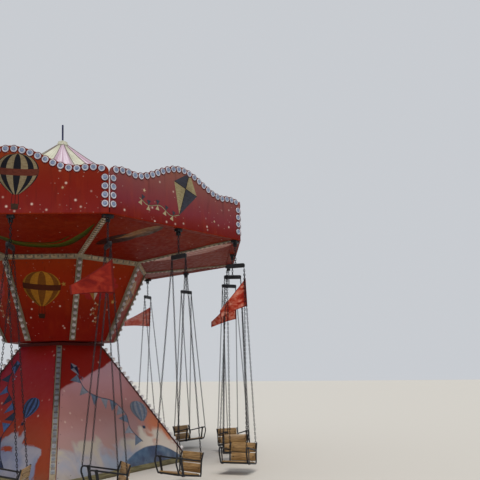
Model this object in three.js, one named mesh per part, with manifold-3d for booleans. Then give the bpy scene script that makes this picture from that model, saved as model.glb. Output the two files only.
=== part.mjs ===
import * as THREE from 'three';
import { mergeVertices } from 'three/addons/utils/BufferGeometryUtils.js';
import Module from 'manifold-3d';

// Chair swing ride. Millimetres, +Z up, origin on the ground under the slewing axis.
// The base is a square pyramid with its sides along X and Y; the turning head is eight-sided.

const wasm = await Module();
wasm.setup();

// Running and fitting clearances
const SEAT_GAP = 0.3;

// Head: its corners are parked this far round from the corners of the base
const HEAD_SIDES = 8;
const PARKED_TURN = 13.4;
const FIRST_CORNER = -45 + PARKED_TURN;
const CORNER_STEP = 360 / HEAD_SIDES;
const HALF_STEP = CORNER_STEP / 2;
const APOTHEM = Math.cos(THREE.MathUtils.degToRad(HALF_STEP));

// Crown boards
const CROWN_RADIUS = 3450;
const BOARD_BOTTOM = 3790;
const BOARD_THICKNESS = 20;
const BOARD_VALLEY = 642;
const BOARD_PEAK_RISE = 275;
const BOARD_PEAK_REACH = 900;
const BOARD_HUMP_RISE = 24;
const BOARD_HUMP_CENTRE = 250;
const BOARD_HUMP_REACH = 240;
const BOARD_END_GAP = 10;
const BOARD_END_RADIUS = 90;
const BOARD_TOP_STEPS = 26;

// Drum, soffit and the cream lamp strips on them
const DRUM_BOTTOM = 2197;
const DRUM_TOP = 3552;
const DRUM_BOTTOM_RADIUS = 942;
const DRUM_TOP_RADIUS = 1572;
const DRUM_WALL = 18;
const SOFFIT_RADIUS = 3299.5;
const SOFFIT_THICKNESS = 14;
const STRIP_WIDTH = 90;
const STRIP_THICKNESS = 18;
const RIB_WIDTH = 80;
const RIB_THICKNESS = 16;
const RING_HEIGHT = 74;

// Pole, slewing ring and tent roof
const RING_PLANE = 2185;
const RING_RADIUS = 260;
const POLE_RADIUS = 110;
const POLE_TOP = 5780;
const NECK_RADIUS = 40;
const TENT_HOLE_RADIUS = 50;
const TENT_TOP = 5895;
const TENT_RIM_RADIUS = 3400;
const TENT_THICKNESS = 12;
const TENT_SAG_POWER = 1.65;
const CAP_RADIUS = 80;
const CAP_TOP = 5915;
const MAST_RADIUS = 16;
const MAST_TOP = 6248;
const ROUND_SIDES = 16;

// Sweep frame: arms, rim beam, posts and the upper rail that carries boards and tent
const ARM_WIDTH = 60;
const ARM_BOTTOM = 3840;
const ARM_HEIGHT = 80;
const HUB_RADIUS = 200;
const RIM_INNER_RADIUS = 3300;
const RIM_HEIGHT = 60;
const FRAME_OUTER_RADIUS = CROWN_RADIUS - (BOARD_THICKNESS + SEAT_GAP) / APOTHEM;
const POST_WIDTH = 40;
const RAIL_TOP = 4290;
const RAIL_HEIGHT = 40;

// Hooks: a block under the rim beam with two cheeks and a pin
const PIN_HEIGHT = 3700;
const PIN_RADIUS = 8;
const BLOCK_DEPTH = 80;
const BLOCK_BOTTOM = 3735;
const CORNER_BLOCK_WIDTH = 150;
const MIDDLE_BLOCK_WIDTH = 90;
const CHEEK_GAP = 30;
const CHEEK_THICKNESS = 10;
const CHEEK_DEPTH = 50;
const CORNER_HOOK_RADIUS = 3350;
const MIDDLE_HOOK_RADIUS = 3108;

// Swings: radial is x, backwards is y, up is z, measured from the pin and the ground
const EYE_RADIUS = 20;
const EYE_BORE = 9;
const EYE_WIDTH = 22;
const SPREADER_HEIGHT = 3357;
const SPREADER_LENGTH = 320;
const SPREADER_DEPTH = 60;
const SPREADER_THICKNESS = 16;
const CHAIN_WIDTH = 10;
const SEAT_HALF_WIDTH = 225;
const ARM_FRONT = { y: -290, z: 445 };
const ARM_REAR = { y: 190, z: 343 };
const BOARD_FRONT = { y: -250, z: 232 };
const BOARD_REAR = { y: 175, z: 162 };
const BACK_TOP = { y: 232, z: 462 };
const LEG_BULGE = 18;
const LEG_BULGE_DROP = 70;
const TUBE_RADIUS = 12;
const TUBE_SIDES = 6;
const STRAP_WIDTH = 40;
const STRAP_THICKNESS = 8;
const STRAP_SETBACK = 80;
const WOOD_THICKNESS = 18;

// Pennants on the corner swings, tied to the outer rear chain and blown by the wind
const PENNANT_TOP = 3150;
const PENNANT_HOIST = 460;
const PENNANT_FLY = 120;
const PENNANT_LENGTH = 620;
const PENNANT_DROOPS = [20, 33, 33, 14, 24, 24, 24, 24];
const PENNANT_THICKNESS = 8;
const PENNANT_STAND_OFF = 15;
const PENNANT_TIE_WIDTH = 6;
const PENNANT_TIE_INSET = 30;
const WIND_HEADING = 212.5;
const CHAIN_SIDE_LIMITS = { outside: -90, behind: 173 };

// Base: ground frame, column, four panels and the strips up the corners
const BASE_SIDES = 4;
const BASE_CORNER = -45;
const BASE_HEIGHT = 2200;
const BASE_FOOT_RADIUS = 2313;
const BASE_TOP_RADIUS = 667;
const PLINTH_HEIGHT = 90;
const PLINTH_RADIUS = 2300;
const PLINTH_WIDTH = 170;
const BEAM_WIDTH = 120;
const COLUMN_RADIUS = 140;
const COLUMN_FLANGE = 30;
const PANEL_TOP = 2130;
const PANEL_THICKNESS = 28;
const CORNER_CUT = 45;
const CORNER_PROUD = 25;
const CORNER_DEPTH = 47;
const COLLAR_TOP = 2180;
const COLLAR_RADIUS = 745;
const COLLAR_WIDTH = 150;

const radians = THREE.MathUtils.degToRad;

// A closed geometry becomes a solid with merged corners and faces that point out
function solid(geometry) {
  const bare = new THREE.BufferGeometry();
  bare.setAttribute('position', geometry.getAttribute('position').clone());
  bare.setIndex(geometry.index ? geometry.index.clone() : null);
  const merged = mergeVertices(bare, 1e-3);
  const position = merged.getAttribute('position');
  const index = Array.from(merged.index.array);
  const corners = index.map((i) => new THREE.Vector3().fromBufferAttribute(position, i));
  let volume = 0;
  const faces = [];
  for (let i = 0; i < index.length; i += 3) {
    const [a, b, c] = index.slice(i, i + 3);
    if (a === b || b === c || c === a) continue;
    volume += corners[i].dot(corners[i + 1].clone().cross(corners[i + 2]));
    faces.push([a, b, c]);
  }
  const outward = volume < 0 ? faces.map(([a, b, c]) => [a, c, b]) : faces;
  const triVerts = new Uint32Array(outward.flat());
  const vertProperties = new Float32Array(position.array);
  return new wasm.Manifold(new wasm.Mesh({ numProp: 3, vertProperties, triVerts }));
}

function geometryOf(body) {
  const mesh = body.getMesh();
  const geometry = new THREE.BufferGeometry();
  geometry.setAttribute('position', new THREE.BufferAttribute(new Float32Array(mesh.vertProperties), 3));
  geometry.setIndex(new THREE.BufferAttribute(new Uint32Array(mesh.triVerts), 1));
  geometry.computeVertexNormals();
  return geometry;
}

function join(geometries) {
  return geometries.map(solid).reduce((whole, part) => whole.add(part));
}

// A ring or vessel with flat sides: a closed outline of [radius, height] corners, turned
function turned(outline, sides, cornerAngle) {
  const points = outline.map(([r, z]) => new THREE.Vector2(r, z));
  points.push(points[0].clone());
  const geometry = new THREE.LatheGeometry(points, sides);
  geometry.rotateX(Math.PI / 2);
  geometry.rotateZ(radians(cornerAngle + 90));
  return geometry;
}

function band(inner, outer, bottom, top, sides, cornerAngle) {
  return turned([[inner, bottom], [outer, bottom], [outer, top], [inner, top]], sides, cornerAngle);
}

// A flat outline of [radius, height] corners in the plane of a radius, thickened sideways
function radialPlate(outline, width, angle) {
  const shape = new THREE.Shape(outline.map(([r, z]) => new THREE.Vector2(r, z)));
  const geometry = new THREE.ExtrudeGeometry(shape, { depth: width, bevelEnabled: false });
  geometry.rotateX(Math.PI / 2);
  geometry.translate(0, width / 2, 0);
  geometry.rotateZ(radians(angle));
  return geometry;
}

function radialBlock(inner, outer, bottom, top, width, angle) {
  return radialPlate([[inner, bottom], [outer, bottom], [outer, top], [inner, top]], width, angle);
}

// A straight bar of rectangular section between two points
function bar(from, to, width, thickness) {
  const start = new THREE.Vector3(...from);
  const end = new THREE.Vector3(...to);
  const geometry = new THREE.BoxGeometry(width, thickness, start.distanceTo(end));
  return aimed(geometry, start, end);
}

function rod(from, to, radius, sides) {
  const start = new THREE.Vector3(...from);
  const end = new THREE.Vector3(...to);
  const geometry = new THREE.CylinderGeometry(radius, radius, start.distanceTo(end), sides);
  geometry.rotateX(Math.PI / 2);
  return aimed(geometry, start, end);
}

function aimed(geometry, start, end) {
  const along = end.clone().sub(start).normalize();
  const side = Math.abs(along.x) > 0.9 ? new THREE.Vector3(0, 1, 0) : new THREE.Vector3(1, 0, 0);
  const across = new THREE.Vector3().crossVectors(along, side).normalize();
  const wide = new THREE.Vector3().crossVectors(across, along);
  const place = new THREE.Matrix4().makeBasis(wide, across, along);
  place.setPosition(start.clone().add(end).multiplyScalar(0.5));
  return geometry.applyMatrix4(place);
}

// A tube bent along a smooth curve
function bentTube(points, steps) {
  const path = new THREE.CatmullRomCurve3(points.map((p) => new THREE.Vector3(...p)));
  const section = new THREE.Shape();
  section.absarc(0, 0, TUBE_RADIUS, 0, 2 * Math.PI);
  return new THREE.ExtrudeGeometry(section, { extrudePath: path, steps, curveSegments: TUBE_SIDES / 2 });
}

function finish(colour, roughness, metalness) {
  return () => new THREE.MeshStandardMaterial({ color: colour, roughness, metalness });
}

const paintedRed = finish(0xb03a20, 0.5, 0);
const paintedCrimson = finish(0x8f2230, 0.5, 0);
const paintedDarkRed = finish(0x6e1712, 0.55, 0);
const paintedLandscape = finish(0xa87c78, 0.5, 0);
const creamLamps = finish(0xd8cfb4, 0.4, 0);
const darkSteel = finish(0x2b2c30, 0.5, 0.7);
const navySteel = finish(0x27304a, 0.5, 0.6);
const plinthTimber = finish(0xa08a5c, 0.8, 0);
const seatWood = finish(0xa8843c, 0.6, 0);
const creamTarpaulin = finish(0xd9cba6, 0.7, 0);
const redCloth = finish(0xc8402a, 0.8, 0);

function named(name, body, material) {
  const mesh = new THREE.Mesh(body instanceof THREE.BufferGeometry ? body : geometryOf(body), material());
  mesh.name = name;
  return mesh;
}

const baseRadius = (z) => BASE_FOOT_RADIUS - (BASE_FOOT_RADIUS - BASE_TOP_RADIUS) * z / BASE_HEIGHT;

function groundFrame() {
  const reach = (PLINTH_RADIUS - PLINTH_WIDTH / 2) * Math.SQRT1_2;
  return join([
    band(PLINTH_RADIUS - PLINTH_WIDTH, PLINTH_RADIUS, 0, PLINTH_HEIGHT, BASE_SIDES, BASE_CORNER),
    bar([-reach, 0, PLINTH_HEIGHT / 2], [reach, 0, PLINTH_HEIGHT / 2], BEAM_WIDTH, PLINTH_HEIGHT),
    bar([0, -reach, PLINTH_HEIGHT / 2], [0, reach, PLINTH_HEIGHT / 2], BEAM_WIDTH, PLINTH_HEIGHT),
    turned([[0, 0], [COLUMN_RADIUS, 0], [COLUMN_RADIUS, RING_PLANE - COLUMN_FLANGE], [RING_RADIUS,
      RING_PLANE - COLUMN_FLANGE], [RING_RADIUS, RING_PLANE], [0, RING_PLANE]], ROUND_SIDES, 0),
  ]);
}

function basePanel(heading) {
  const bottom = PLINTH_HEIGHT + SEAT_GAP;
  const shell = solid(turned([
    [baseRadius(bottom) - PANEL_THICKNESS, bottom],
    [baseRadius(bottom), bottom],
    [baseRadius(PANEL_TOP), PANEL_TOP],
    [baseRadius(PANEL_TOP) - PANEL_THICKNESS, PANEL_TOP],
  ], BASE_SIDES, BASE_CORNER));
  const reach = BASE_FOOT_RADIUS;
  const setBack = CORNER_CUT * Math.SQRT2;
  const wedge = new THREE.Shape([
    new THREE.Vector2(setBack, 0),
    new THREE.Vector2(reach, reach - setBack),
    new THREE.Vector2(reach, setBack - reach),
  ]);
  const sector = new THREE.ExtrudeGeometry(wedge, { depth: BASE_HEIGHT, bevelEnabled: false });
  sector.rotateZ(radians(heading));
  return shell.intersect(solid(sector));
}

function baseLightStrips() {
  const bottom = PLINTH_HEIGHT + SEAT_GAP;
  const top = PANEL_TOP + 2 * STRIP_THICKNESS;
  const width = 2 * (CORNER_CUT - SEAT_GAP);
  const face = CORNER_PROUD - CORNER_CUT;
  const outline = [
    [baseRadius(bottom) + face - CORNER_DEPTH, bottom],
    [baseRadius(bottom) + face, bottom],
    [baseRadius(top) + face, top],
    [baseRadius(top) + face - CORNER_DEPTH, top],
  ];
  const parts = [
    band(COLLAR_RADIUS - COLLAR_WIDTH, COLLAR_RADIUS, PANEL_TOP + SEAT_GAP, COLLAR_TOP, BASE_SIDES, BASE_CORNER),
  ];
  for (let k = 0; k < BASE_SIDES; k++) parts.push(radialPlate(outline, width, BASE_CORNER + 90 * k));
  return join(parts);
}

function centrePole() {
  return solid(turned([
    [0, RING_PLANE + SEAT_GAP],
    [RING_RADIUS, RING_PLANE + SEAT_GAP],
    [RING_RADIUS, DRUM_BOTTOM - SEAT_GAP],
    [POLE_RADIUS, DRUM_BOTTOM - SEAT_GAP],
    [POLE_RADIUS, POLE_TOP],
    [NECK_RADIUS, POLE_TOP],
    [NECK_RADIUS, TENT_TOP + SEAT_GAP],
    [CAP_RADIUS, TENT_TOP + SEAT_GAP],
    [CAP_RADIUS, CAP_TOP],
    [MAST_RADIUS, CAP_TOP],
    [MAST_RADIUS, MAST_TOP],
    [0, MAST_TOP],
  ], ROUND_SIDES, 0));
}

const headCorner = (k) => FIRST_CORNER + CORNER_STEP * k;

const drumRadius = (z) => DRUM_BOTTOM_RADIUS
  + (DRUM_TOP_RADIUS - DRUM_BOTTOM_RADIUS) * (z - DRUM_BOTTOM) / (DRUM_TOP - DRUM_BOTTOM);

const soffitHeight = (r) => DRUM_TOP + SEAT_GAP
  + (BOARD_BOTTOM - DRUM_TOP - SEAT_GAP) * (r - DRUM_TOP_RADIUS) / (SOFFIT_RADIUS - DRUM_TOP_RADIUS);

function drumShell() {
  const hole = (POLE_RADIUS + SEAT_GAP) / APOTHEM;
  const floor = DRUM_BOTTOM + DRUM_WALL;
  return solid(turned([
    [hole, DRUM_BOTTOM],
    [DRUM_BOTTOM_RADIUS, DRUM_BOTTOM],
    [DRUM_TOP_RADIUS, DRUM_TOP],
    [DRUM_TOP_RADIUS - DRUM_WALL, DRUM_TOP],
    [drumRadius(floor) - DRUM_WALL, floor],
    [hole, floor],
  ], HEAD_SIDES, FIRST_CORNER));
}

function soffitShell() {
  const inner = DRUM_TOP_RADIUS - DRUM_WALL;
  return solid(turned([
    [inner, soffitHeight(DRUM_TOP_RADIUS)],
    [DRUM_TOP_RADIUS, soffitHeight(DRUM_TOP_RADIUS)],
    [SOFFIT_RADIUS, BOARD_BOTTOM],
    [SOFFIT_RADIUS, BOARD_BOTTOM + SOFFIT_THICKNESS],
    [DRUM_TOP_RADIUS, soffitHeight(DRUM_TOP_RADIUS) + SOFFIT_THICKNESS],
    [inner, soffitHeight(DRUM_TOP_RADIUS) + SOFFIT_THICKNESS],
  ], HEAD_SIDES, FIRST_CORNER));
}

// Strips up the drum's corners, a ring under the soffit and a rib under each soffit corner
function headLightStrips() {
  const foot = DRUM_BOTTOM + 5;
  const ringBottom = DRUM_TOP - RING_HEIGHT;
  const parts = [turned([
    [drumRadius(ringBottom) - DRUM_WALL, ringBottom],
    [drumRadius(ringBottom) + STRIP_THICKNESS, ringBottom],
    [DRUM_TOP_RADIUS + STRIP_THICKNESS, DRUM_TOP],
    [DRUM_TOP_RADIUS - DRUM_WALL, DRUM_TOP],
  ], HEAD_SIDES, FIRST_CORNER)];
  const ribStart = DRUM_TOP_RADIUS;
  const ribEnd = SOFFIT_RADIUS - STRIP_THICKNESS;
  for (let k = 0; k < HEAD_SIDES; k++) {
    parts.push(radialPlate([
      [drumRadius(foot) - DRUM_WALL, foot],
      [drumRadius(foot) + STRIP_THICKNESS, foot],
      [DRUM_TOP_RADIUS + STRIP_THICKNESS, DRUM_TOP],
      [DRUM_TOP_RADIUS - DRUM_WALL, DRUM_TOP],
    ], STRIP_WIDTH, headCorner(k)));
    parts.push(radialPlate([
      [ribStart, soffitHeight(ribStart) - RIB_THICKNESS],
      [ribEnd, soffitHeight(ribEnd) - RIB_THICKNESS],
      [ribEnd, BOARD_BOTTOM],
      [ribStart, BOARD_BOTTOM],
    ], RIB_WIDTH, headCorner(k)));
  }
  const kept = turned([
    [0, DRUM_BOTTOM - DRUM_WALL],
    [drumRadius(DRUM_BOTTOM - DRUM_WALL) + SEAT_GAP, DRUM_BOTTOM - DRUM_WALL],
    [DRUM_TOP_RADIUS + SEAT_GAP, DRUM_TOP - SEAT_GAP],
    [CROWN_RADIUS, soffitHeight(CROWN_RADIUS) - SEAT_GAP],
    [CROWN_RADIUS, RAIL_TOP],
    [0, RAIL_TOP],
  ], HEAD_SIDES, FIRST_CORNER);
  return join(parts).subtract(solid(kept));
}

function hook(radius, blockWidth, angle) {
  const tangent = CHEEK_GAP / 2 + CHEEK_THICKNESS;
  const halfBlock = BLOCK_DEPTH / 2;
  const halfCheek = CHEEK_DEPTH / 2;
  const parts = [
    radialBlock(radius - halfBlock, radius + halfBlock, BLOCK_BOTTOM, BOARD_BOTTOM + 10, blockWidth, angle),
  ];
  for (const side of [-1, 1]) {
    const cheek = radialBlock(radius - halfCheek, radius + halfCheek, PIN_HEIGHT - halfCheek,
      BLOCK_BOTTOM + 5, CHEEK_THICKNESS, 0);
    cheek.translate(0, side * (CHEEK_GAP + CHEEK_THICKNESS) / 2, 0);
    cheek.rotateZ(radians(angle));
    parts.push(cheek);
  }
  const pin = rod([radius, -tangent - 6, PIN_HEIGHT], [radius, tangent + 6, PIN_HEIGHT], PIN_RADIUS, 6);
  pin.rotateZ(radians(angle));
  parts.push(pin);
  return parts;
}

const isCorner = (n) => n % 2 === 0;
const swingAngle = (n) => FIRST_CORNER + HALF_STEP * n;
const hookRadius = (n) => (isCorner(n) ? CORNER_HOOK_RADIUS : MIDDLE_HOOK_RADIUS);

function sweepFrame() {
  const boreRadius = (POLE_RADIUS + SEAT_GAP) / Math.cos(Math.PI / ROUND_SIDES);
  const armTop = ARM_BOTTOM + ARM_HEIGHT;
  const rimTop = BOARD_BOTTOM + RIM_HEIGHT;
  const railInner = FRAME_OUTER_RADIUS - POST_WIDTH;
  const parts = [
    band(boreRadius, HUB_RADIUS, ARM_BOTTOM - 10, armTop + 10, ROUND_SIDES, 0),
    band(RIM_INNER_RADIUS, FRAME_OUTER_RADIUS, BOARD_BOTTOM, rimTop, HEAD_SIDES, FIRST_CORNER),
    band(railInner, FRAME_OUTER_RADIUS, RAIL_TOP - RAIL_HEIGHT, RAIL_TOP, HEAD_SIDES, FIRST_CORNER),
  ];
  for (let n = 0; n < 2 * HEAD_SIDES; n++) {
    const angle = swingAngle(n);
    const outer = (isCorner(n) ? FRAME_OUTER_RADIUS - POST_WIDTH / 4 : FRAME_OUTER_RADIUS * APOTHEM) - 1;
    parts.push(radialBlock(outer - POST_WIDTH, outer, ARM_BOTTOM, RAIL_TOP - 5, POST_WIDTH, angle));
    if (isCorner(n)) {
      parts.push(radialBlock(HUB_RADIUS - 20, outer - 10, ARM_BOTTOM, armTop, ARM_WIDTH, angle));
    }
    parts.push(...hook(hookRadius(n), isCorner(n) ? CORNER_BLOCK_WIDTH : MIDDLE_BLOCK_WIDTH, angle));
  }
  return join(parts);
}

// A smooth hill of height one, falling to nothing at its reach
function hill(distance, reach) {
  return Math.abs(distance) < reach ? Math.cos(Math.PI * distance / (2 * reach)) ** 2 : 0;
}

function boardTop(s, side) {
  const ends = hill(s - BOARD_HUMP_CENTRE, BOARD_HUMP_REACH)
    + hill(side - s - BOARD_HUMP_CENTRE, BOARD_HUMP_REACH);
  return BOARD_VALLEY + BOARD_HUMP_RISE * ends + BOARD_PEAK_RISE * hill(s - side / 2, BOARD_PEAK_REACH);
}

function crownBoard(k) {
  const side = 2 * CROWN_RADIUS * Math.sin(radians(HALF_STEP));
  const left = BOARD_END_GAP;
  const right = side - BOARD_END_GAP;
  const outline = new THREE.Shape();
  outline.moveTo(left, 0);
  outline.lineTo(right, 0);
  const shoulder = boardTop(left + BOARD_END_RADIUS, side) - BOARD_END_RADIUS;
  outline.lineTo(right, shoulder);
  outline.absarc(right - BOARD_END_RADIUS, shoulder, BOARD_END_RADIUS, 0, Math.PI / 2, false);
  for (let i = 1; i < BOARD_TOP_STEPS; i++) {
    const s = right - BOARD_END_RADIUS - (right - left - 2 * BOARD_END_RADIUS) * i / BOARD_TOP_STEPS;
    outline.lineTo(s, boardTop(s, side));
  }
  outline.absarc(left + BOARD_END_RADIUS, shoulder, BOARD_END_RADIUS, Math.PI / 2, Math.PI, false);
  const sheet = { depth: BOARD_THICKNESS, bevelEnabled: false, curveSegments: 5 };
  const geometry = new THREE.ExtrudeGeometry(outline, sheet);
  geometry.translate(-side / 2, 0, -BOARD_THICKNESS);
  geometry.rotateX(Math.PI / 2);
  geometry.rotateZ(Math.PI / 2);
  geometry.translate(CROWN_RADIUS * APOTHEM, 0, BOARD_BOTTOM);
  geometry.rotateZ(radians(headCorner(k) + HALF_STEP));
  return solid(geometry);
}

function tentRoof() {
  const rim = RAIL_TOP + SEAT_GAP + TENT_THICKNESS;
  const stations = [0, 0.08, 0.2, 0.36, 0.56, 0.78, 1];
  const skin = stations.map((t) => [
    TENT_HOLE_RADIUS + (TENT_RIM_RADIUS - TENT_HOLE_RADIUS) * t,
    rim + (TENT_TOP - rim) * (1 - t) ** TENT_SAG_POWER,
  ]);
  const lining = skin.map(([r, z]) => [r, z - TENT_THICKNESS]).reverse();
  return solid(turned([...skin, ...lining], HEAD_SIDES, FIRST_CORNER));
}

// Everything of steel that hangs on one pin, measured from the foot of that pin on the ground
function swingHanger() {
  const spread = SPREADER_LENGTH / 2;
  const eye = new THREE.Shape();
  eye.absarc(0, 0, EYE_RADIUS, 0, 2 * Math.PI);
  const bore = new THREE.Path();
  bore.absarc(0, 0, EYE_BORE, 0, 2 * Math.PI);
  eye.holes.push(bore);
  const ring = new THREE.ExtrudeGeometry(eye, { depth: EYE_WIDTH, bevelEnabled: false, curveSegments: 4 });
  ring.rotateX(Math.PI / 2);
  ring.translate(0, EYE_WIDTH / 2, PIN_HEIGHT);
  const parts = [
    ring,
    bar([0, 0, PIN_HEIGHT - EYE_RADIUS + 4], [0, 0, SPREADER_HEIGHT], CHAIN_WIDTH, CHAIN_WIDTH),
    bar([-spread, 0, SPREADER_HEIGHT], [spread, 0, SPREADER_HEIGHT], SPREADER_THICKNESS, SPREADER_DEPTH),
  ];
  for (const side of [-1, 1]) {
    const x = side * SEAT_HALF_WIDTH;
    const top = [side * (spread - CHAIN_WIDTH), 0, SPREADER_HEIGHT];
    parts.push(bar(top, [x, ARM_FRONT.y, ARM_FRONT.z], CHAIN_WIDTH, CHAIN_WIDTH));
    parts.push(bar(top, [x, ARM_REAR.y, ARM_REAR.z], CHAIN_WIDTH, CHAIN_WIDTH));
    parts.push(...seatSide(x));
  }
  const under = WOOD_THICKNESS + TUBE_RADIUS + SEAT_GAP;
  for (const place of [BOARD_FRONT, BOARD_REAR]) {
    const z = place.z - under;
    parts.push(rod([-SEAT_HALF_WIDTH, place.y, z], [SEAT_HALF_WIDTH, place.y, z], TUBE_RADIUS, TUBE_SIDES));
  }
  return join(parts);
}

// One side of the seat frame: arm, bent front leg, rear upright, lower rail and a flat strap
function seatSide(x) {
  const under = WOOD_THICKNESS + TUBE_RADIUS + SEAT_GAP;
  const frontFoot = [x, BOARD_FRONT.y, BOARD_FRONT.z - under];
  const rearFoot = [x, BOARD_REAR.y, BOARD_REAR.z - under];
  const armFront = [x, ARM_FRONT.y, ARM_FRONT.z];
  const armRear = [x, ARM_REAR.y, ARM_REAR.z];
  const slope = (ARM_REAR.z - ARM_FRONT.z) / (ARM_REAR.y - ARM_FRONT.y);
  const strapTop = [x, ARM_FRONT.y + STRAP_SETBACK, ARM_FRONT.z + slope * STRAP_SETBACK];
  const strapFoot = [x, BOARD_FRONT.y + STRAP_SETBACK, BOARD_FRONT.z - under + slope * STRAP_SETBACK];
  return [
    rod(armFront, armRear, TUBE_RADIUS, TUBE_SIDES),
    bentTube([armFront, [x, ARM_FRONT.y - LEG_BULGE, ARM_FRONT.z - LEG_BULGE_DROP], frontFoot], 3),
    rod(frontFoot, rearFoot, TUBE_RADIUS, TUBE_SIDES),
    rod(rearFoot, armRear, TUBE_RADIUS, TUBE_SIDES),
    rod(armRear, [x, BACK_TOP.y, BACK_TOP.z], TUBE_RADIUS, TUBE_SIDES),
    bar(strapTop, strapFoot, STRAP_THICKNESS, STRAP_WIDTH),
  ];
}

// Sitting board and the planks of the back, set between the two sides of the frame
function swingSeat() {
  const half = SEAT_HALF_WIDTH - TUBE_RADIUS - SEAT_GAP;
  const board = new THREE.Shape([
    new THREE.Vector2(BOARD_FRONT.y, BOARD_FRONT.z - WOOD_THICKNESS),
    new THREE.Vector2(BOARD_REAR.y + WOOD_THICKNESS, BOARD_REAR.z - WOOD_THICKNESS),
    new THREE.Vector2(BACK_TOP.y + WOOD_THICKNESS, BACK_TOP.z),
    new THREE.Vector2(BACK_TOP.y, BACK_TOP.z),
    new THREE.Vector2(BOARD_REAR.y, BOARD_REAR.z),
    new THREE.Vector2(BOARD_FRONT.y, BOARD_FRONT.z),
  ]);
  const geometry = new THREE.ExtrudeGeometry(board, { depth: 2 * half, bevelEnabled: false });
  geometry.rotateX(Math.PI / 2);
  geometry.rotateZ(Math.PI / 2);
  geometry.translate(-half, 0, 0);
  return solid(geometry);
}

// The wind heading seen from the swing, kept clear of the swing's own chains
function pennantHeading(n) {
  const local = THREE.MathUtils.euclideanModulo(WIND_HEADING - swingAngle(n) + 180, 360) - 180;
  const { outside, behind } = CHAIN_SIDE_LIMITS;
  if (local > outside && local < behind) return local;
  return local > (outside + behind - 360) / 2 && local < 0 ? outside : behind;
}

// Where a pennant hangs: down its chain, standing off to the side that is clear of the swing
function pennantPlace(n) {
  const top = new THREE.Vector3(SPREADER_LENGTH / 2 - CHAIN_WIDTH, 0, SPREADER_HEIGHT);
  const foot = new THREE.Vector3(SEAT_HALF_WIDTH, ARM_REAR.y, ARM_REAR.z);
  const down = foot.sub(top).normalize();
  const start = top.addScaledVector(down, (SPREADER_HEIGHT - PENNANT_TOP) / -down.z);
  const heading = radians(pennantHeading(n));
  const fly = new THREE.Vector3(Math.cos(heading), Math.sin(heading), 0);
  const aside = new THREE.Vector3(-fly.y, fly.x, 0);
  if (aside.x + aside.y < 0) aside.negate();
  return { start, down, fly, aside };
}

// Two short ties that hold the hoist of a pennant to its chain
function pennantTies(n) {
  const { start, down, aside } = pennantPlace(n);
  return [PENNANT_TIE_INSET, PENNANT_HOIST - PENNANT_TIE_INSET].map((drop) => {
    const knot = start.clone().addScaledVector(down, drop);
    const end = knot.clone().addScaledVector(aside, PENNANT_STAND_OFF - PENNANT_THICKNESS / 2 - SEAT_GAP);
    return bar(knot.toArray(), end.toArray(), PENNANT_TIE_WIDTH, PENNANT_TIE_WIDTH);
  });
}

// A pennant is cut straight from its hoist to a short fly end, and droops at its own angle
function pennant(n) {
  const { start, down, fly, aside } = pennantPlace(n);
  const droop = radians(PENNANT_DROOPS[n / 2]);
  const reach = PENNANT_LENGTH * Math.cos(droop);
  const middle = PENNANT_HOIST / 2 + PENNANT_LENGTH * Math.sin(droop);
  const outline = new THREE.Shape([
    new THREE.Vector2(0, 0),
    new THREE.Vector2(0, PENNANT_HOIST),
    new THREE.Vector2(reach, middle + PENNANT_FLY / 2),
    new THREE.Vector2(reach, middle - PENNANT_FLY / 2),
  ]);
  const geometry = new THREE.ExtrudeGeometry(outline, { depth: PENNANT_THICKNESS, bevelEnabled: false });
  geometry.translate(-PENNANT_TIE_WIDTH, 0, -PENNANT_THICKNESS / 2);
  const place = new THREE.Matrix4().makeBasis(fly, down, aside);
  place.setPosition(start.addScaledVector(aside, PENNANT_STAND_OFF));
  return solid(geometry.applyMatrix4(place));
}

const ride = new THREE.Group();

ride.add(named('ground_frame', groundFrame(), plinthTimber));
const panelHeadings = { right: 0, back: 90, left: 180, front: 270 };
for (const [side, heading] of Object.entries(panelHeadings)) {
  ride.add(named(`base_panel_${side}`, basePanel(heading), paintedLandscape));
}
ride.add(named('base_light_strips', baseLightStrips(), creamLamps));

ride.add(named('centre_pole', centrePole(), navySteel));
ride.add(named('sweep_frame', sweepFrame(), darkSteel));
ride.add(named('drum_shell', drumShell(), paintedRed));
ride.add(named('soffit_shell', soffitShell(), paintedDarkRed));
ride.add(named('head_light_strips', headLightStrips(), creamLamps));
ride.add(named('tent_roof', tentRoof(), creamTarpaulin));
for (let k = 0; k < HEAD_SIDES; k++) {
  ride.add(named(`crown_board_${k + 1}`, crownBoard(k), paintedCrimson));
}

const hanger = swingHanger();
const seat = geometryOf(swingSeat());
for (let n = 0; n < 2 * HEAD_SIDES; n++) {
  const number = String(n + 1).padStart(2, '0');
  const swing = new THREE.Group();
  const steel = isCorner(n) ? hanger.add(join(pennantTies(n))) : hanger;
  swing.add(named(`swing_${number}_hanger`, steel, darkSteel));
  swing.add(named(`swing_${number}_seat`, seat, seatWood));
  if (isCorner(n)) swing.add(named(`swing_${number}_pennant`, pennant(n), redCloth));
  const angle = radians(swingAngle(n));
  swing.rotation.z = angle;
  swing.position.set(hookRadius(n) * Math.cos(angle), hookRadius(n) * Math.sin(angle), 0);
  ride.add(swing);
}

export default ride;
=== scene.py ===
import math

import bmesh
import bpy
import numpy as np
from mathutils import Matrix, Vector


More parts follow.
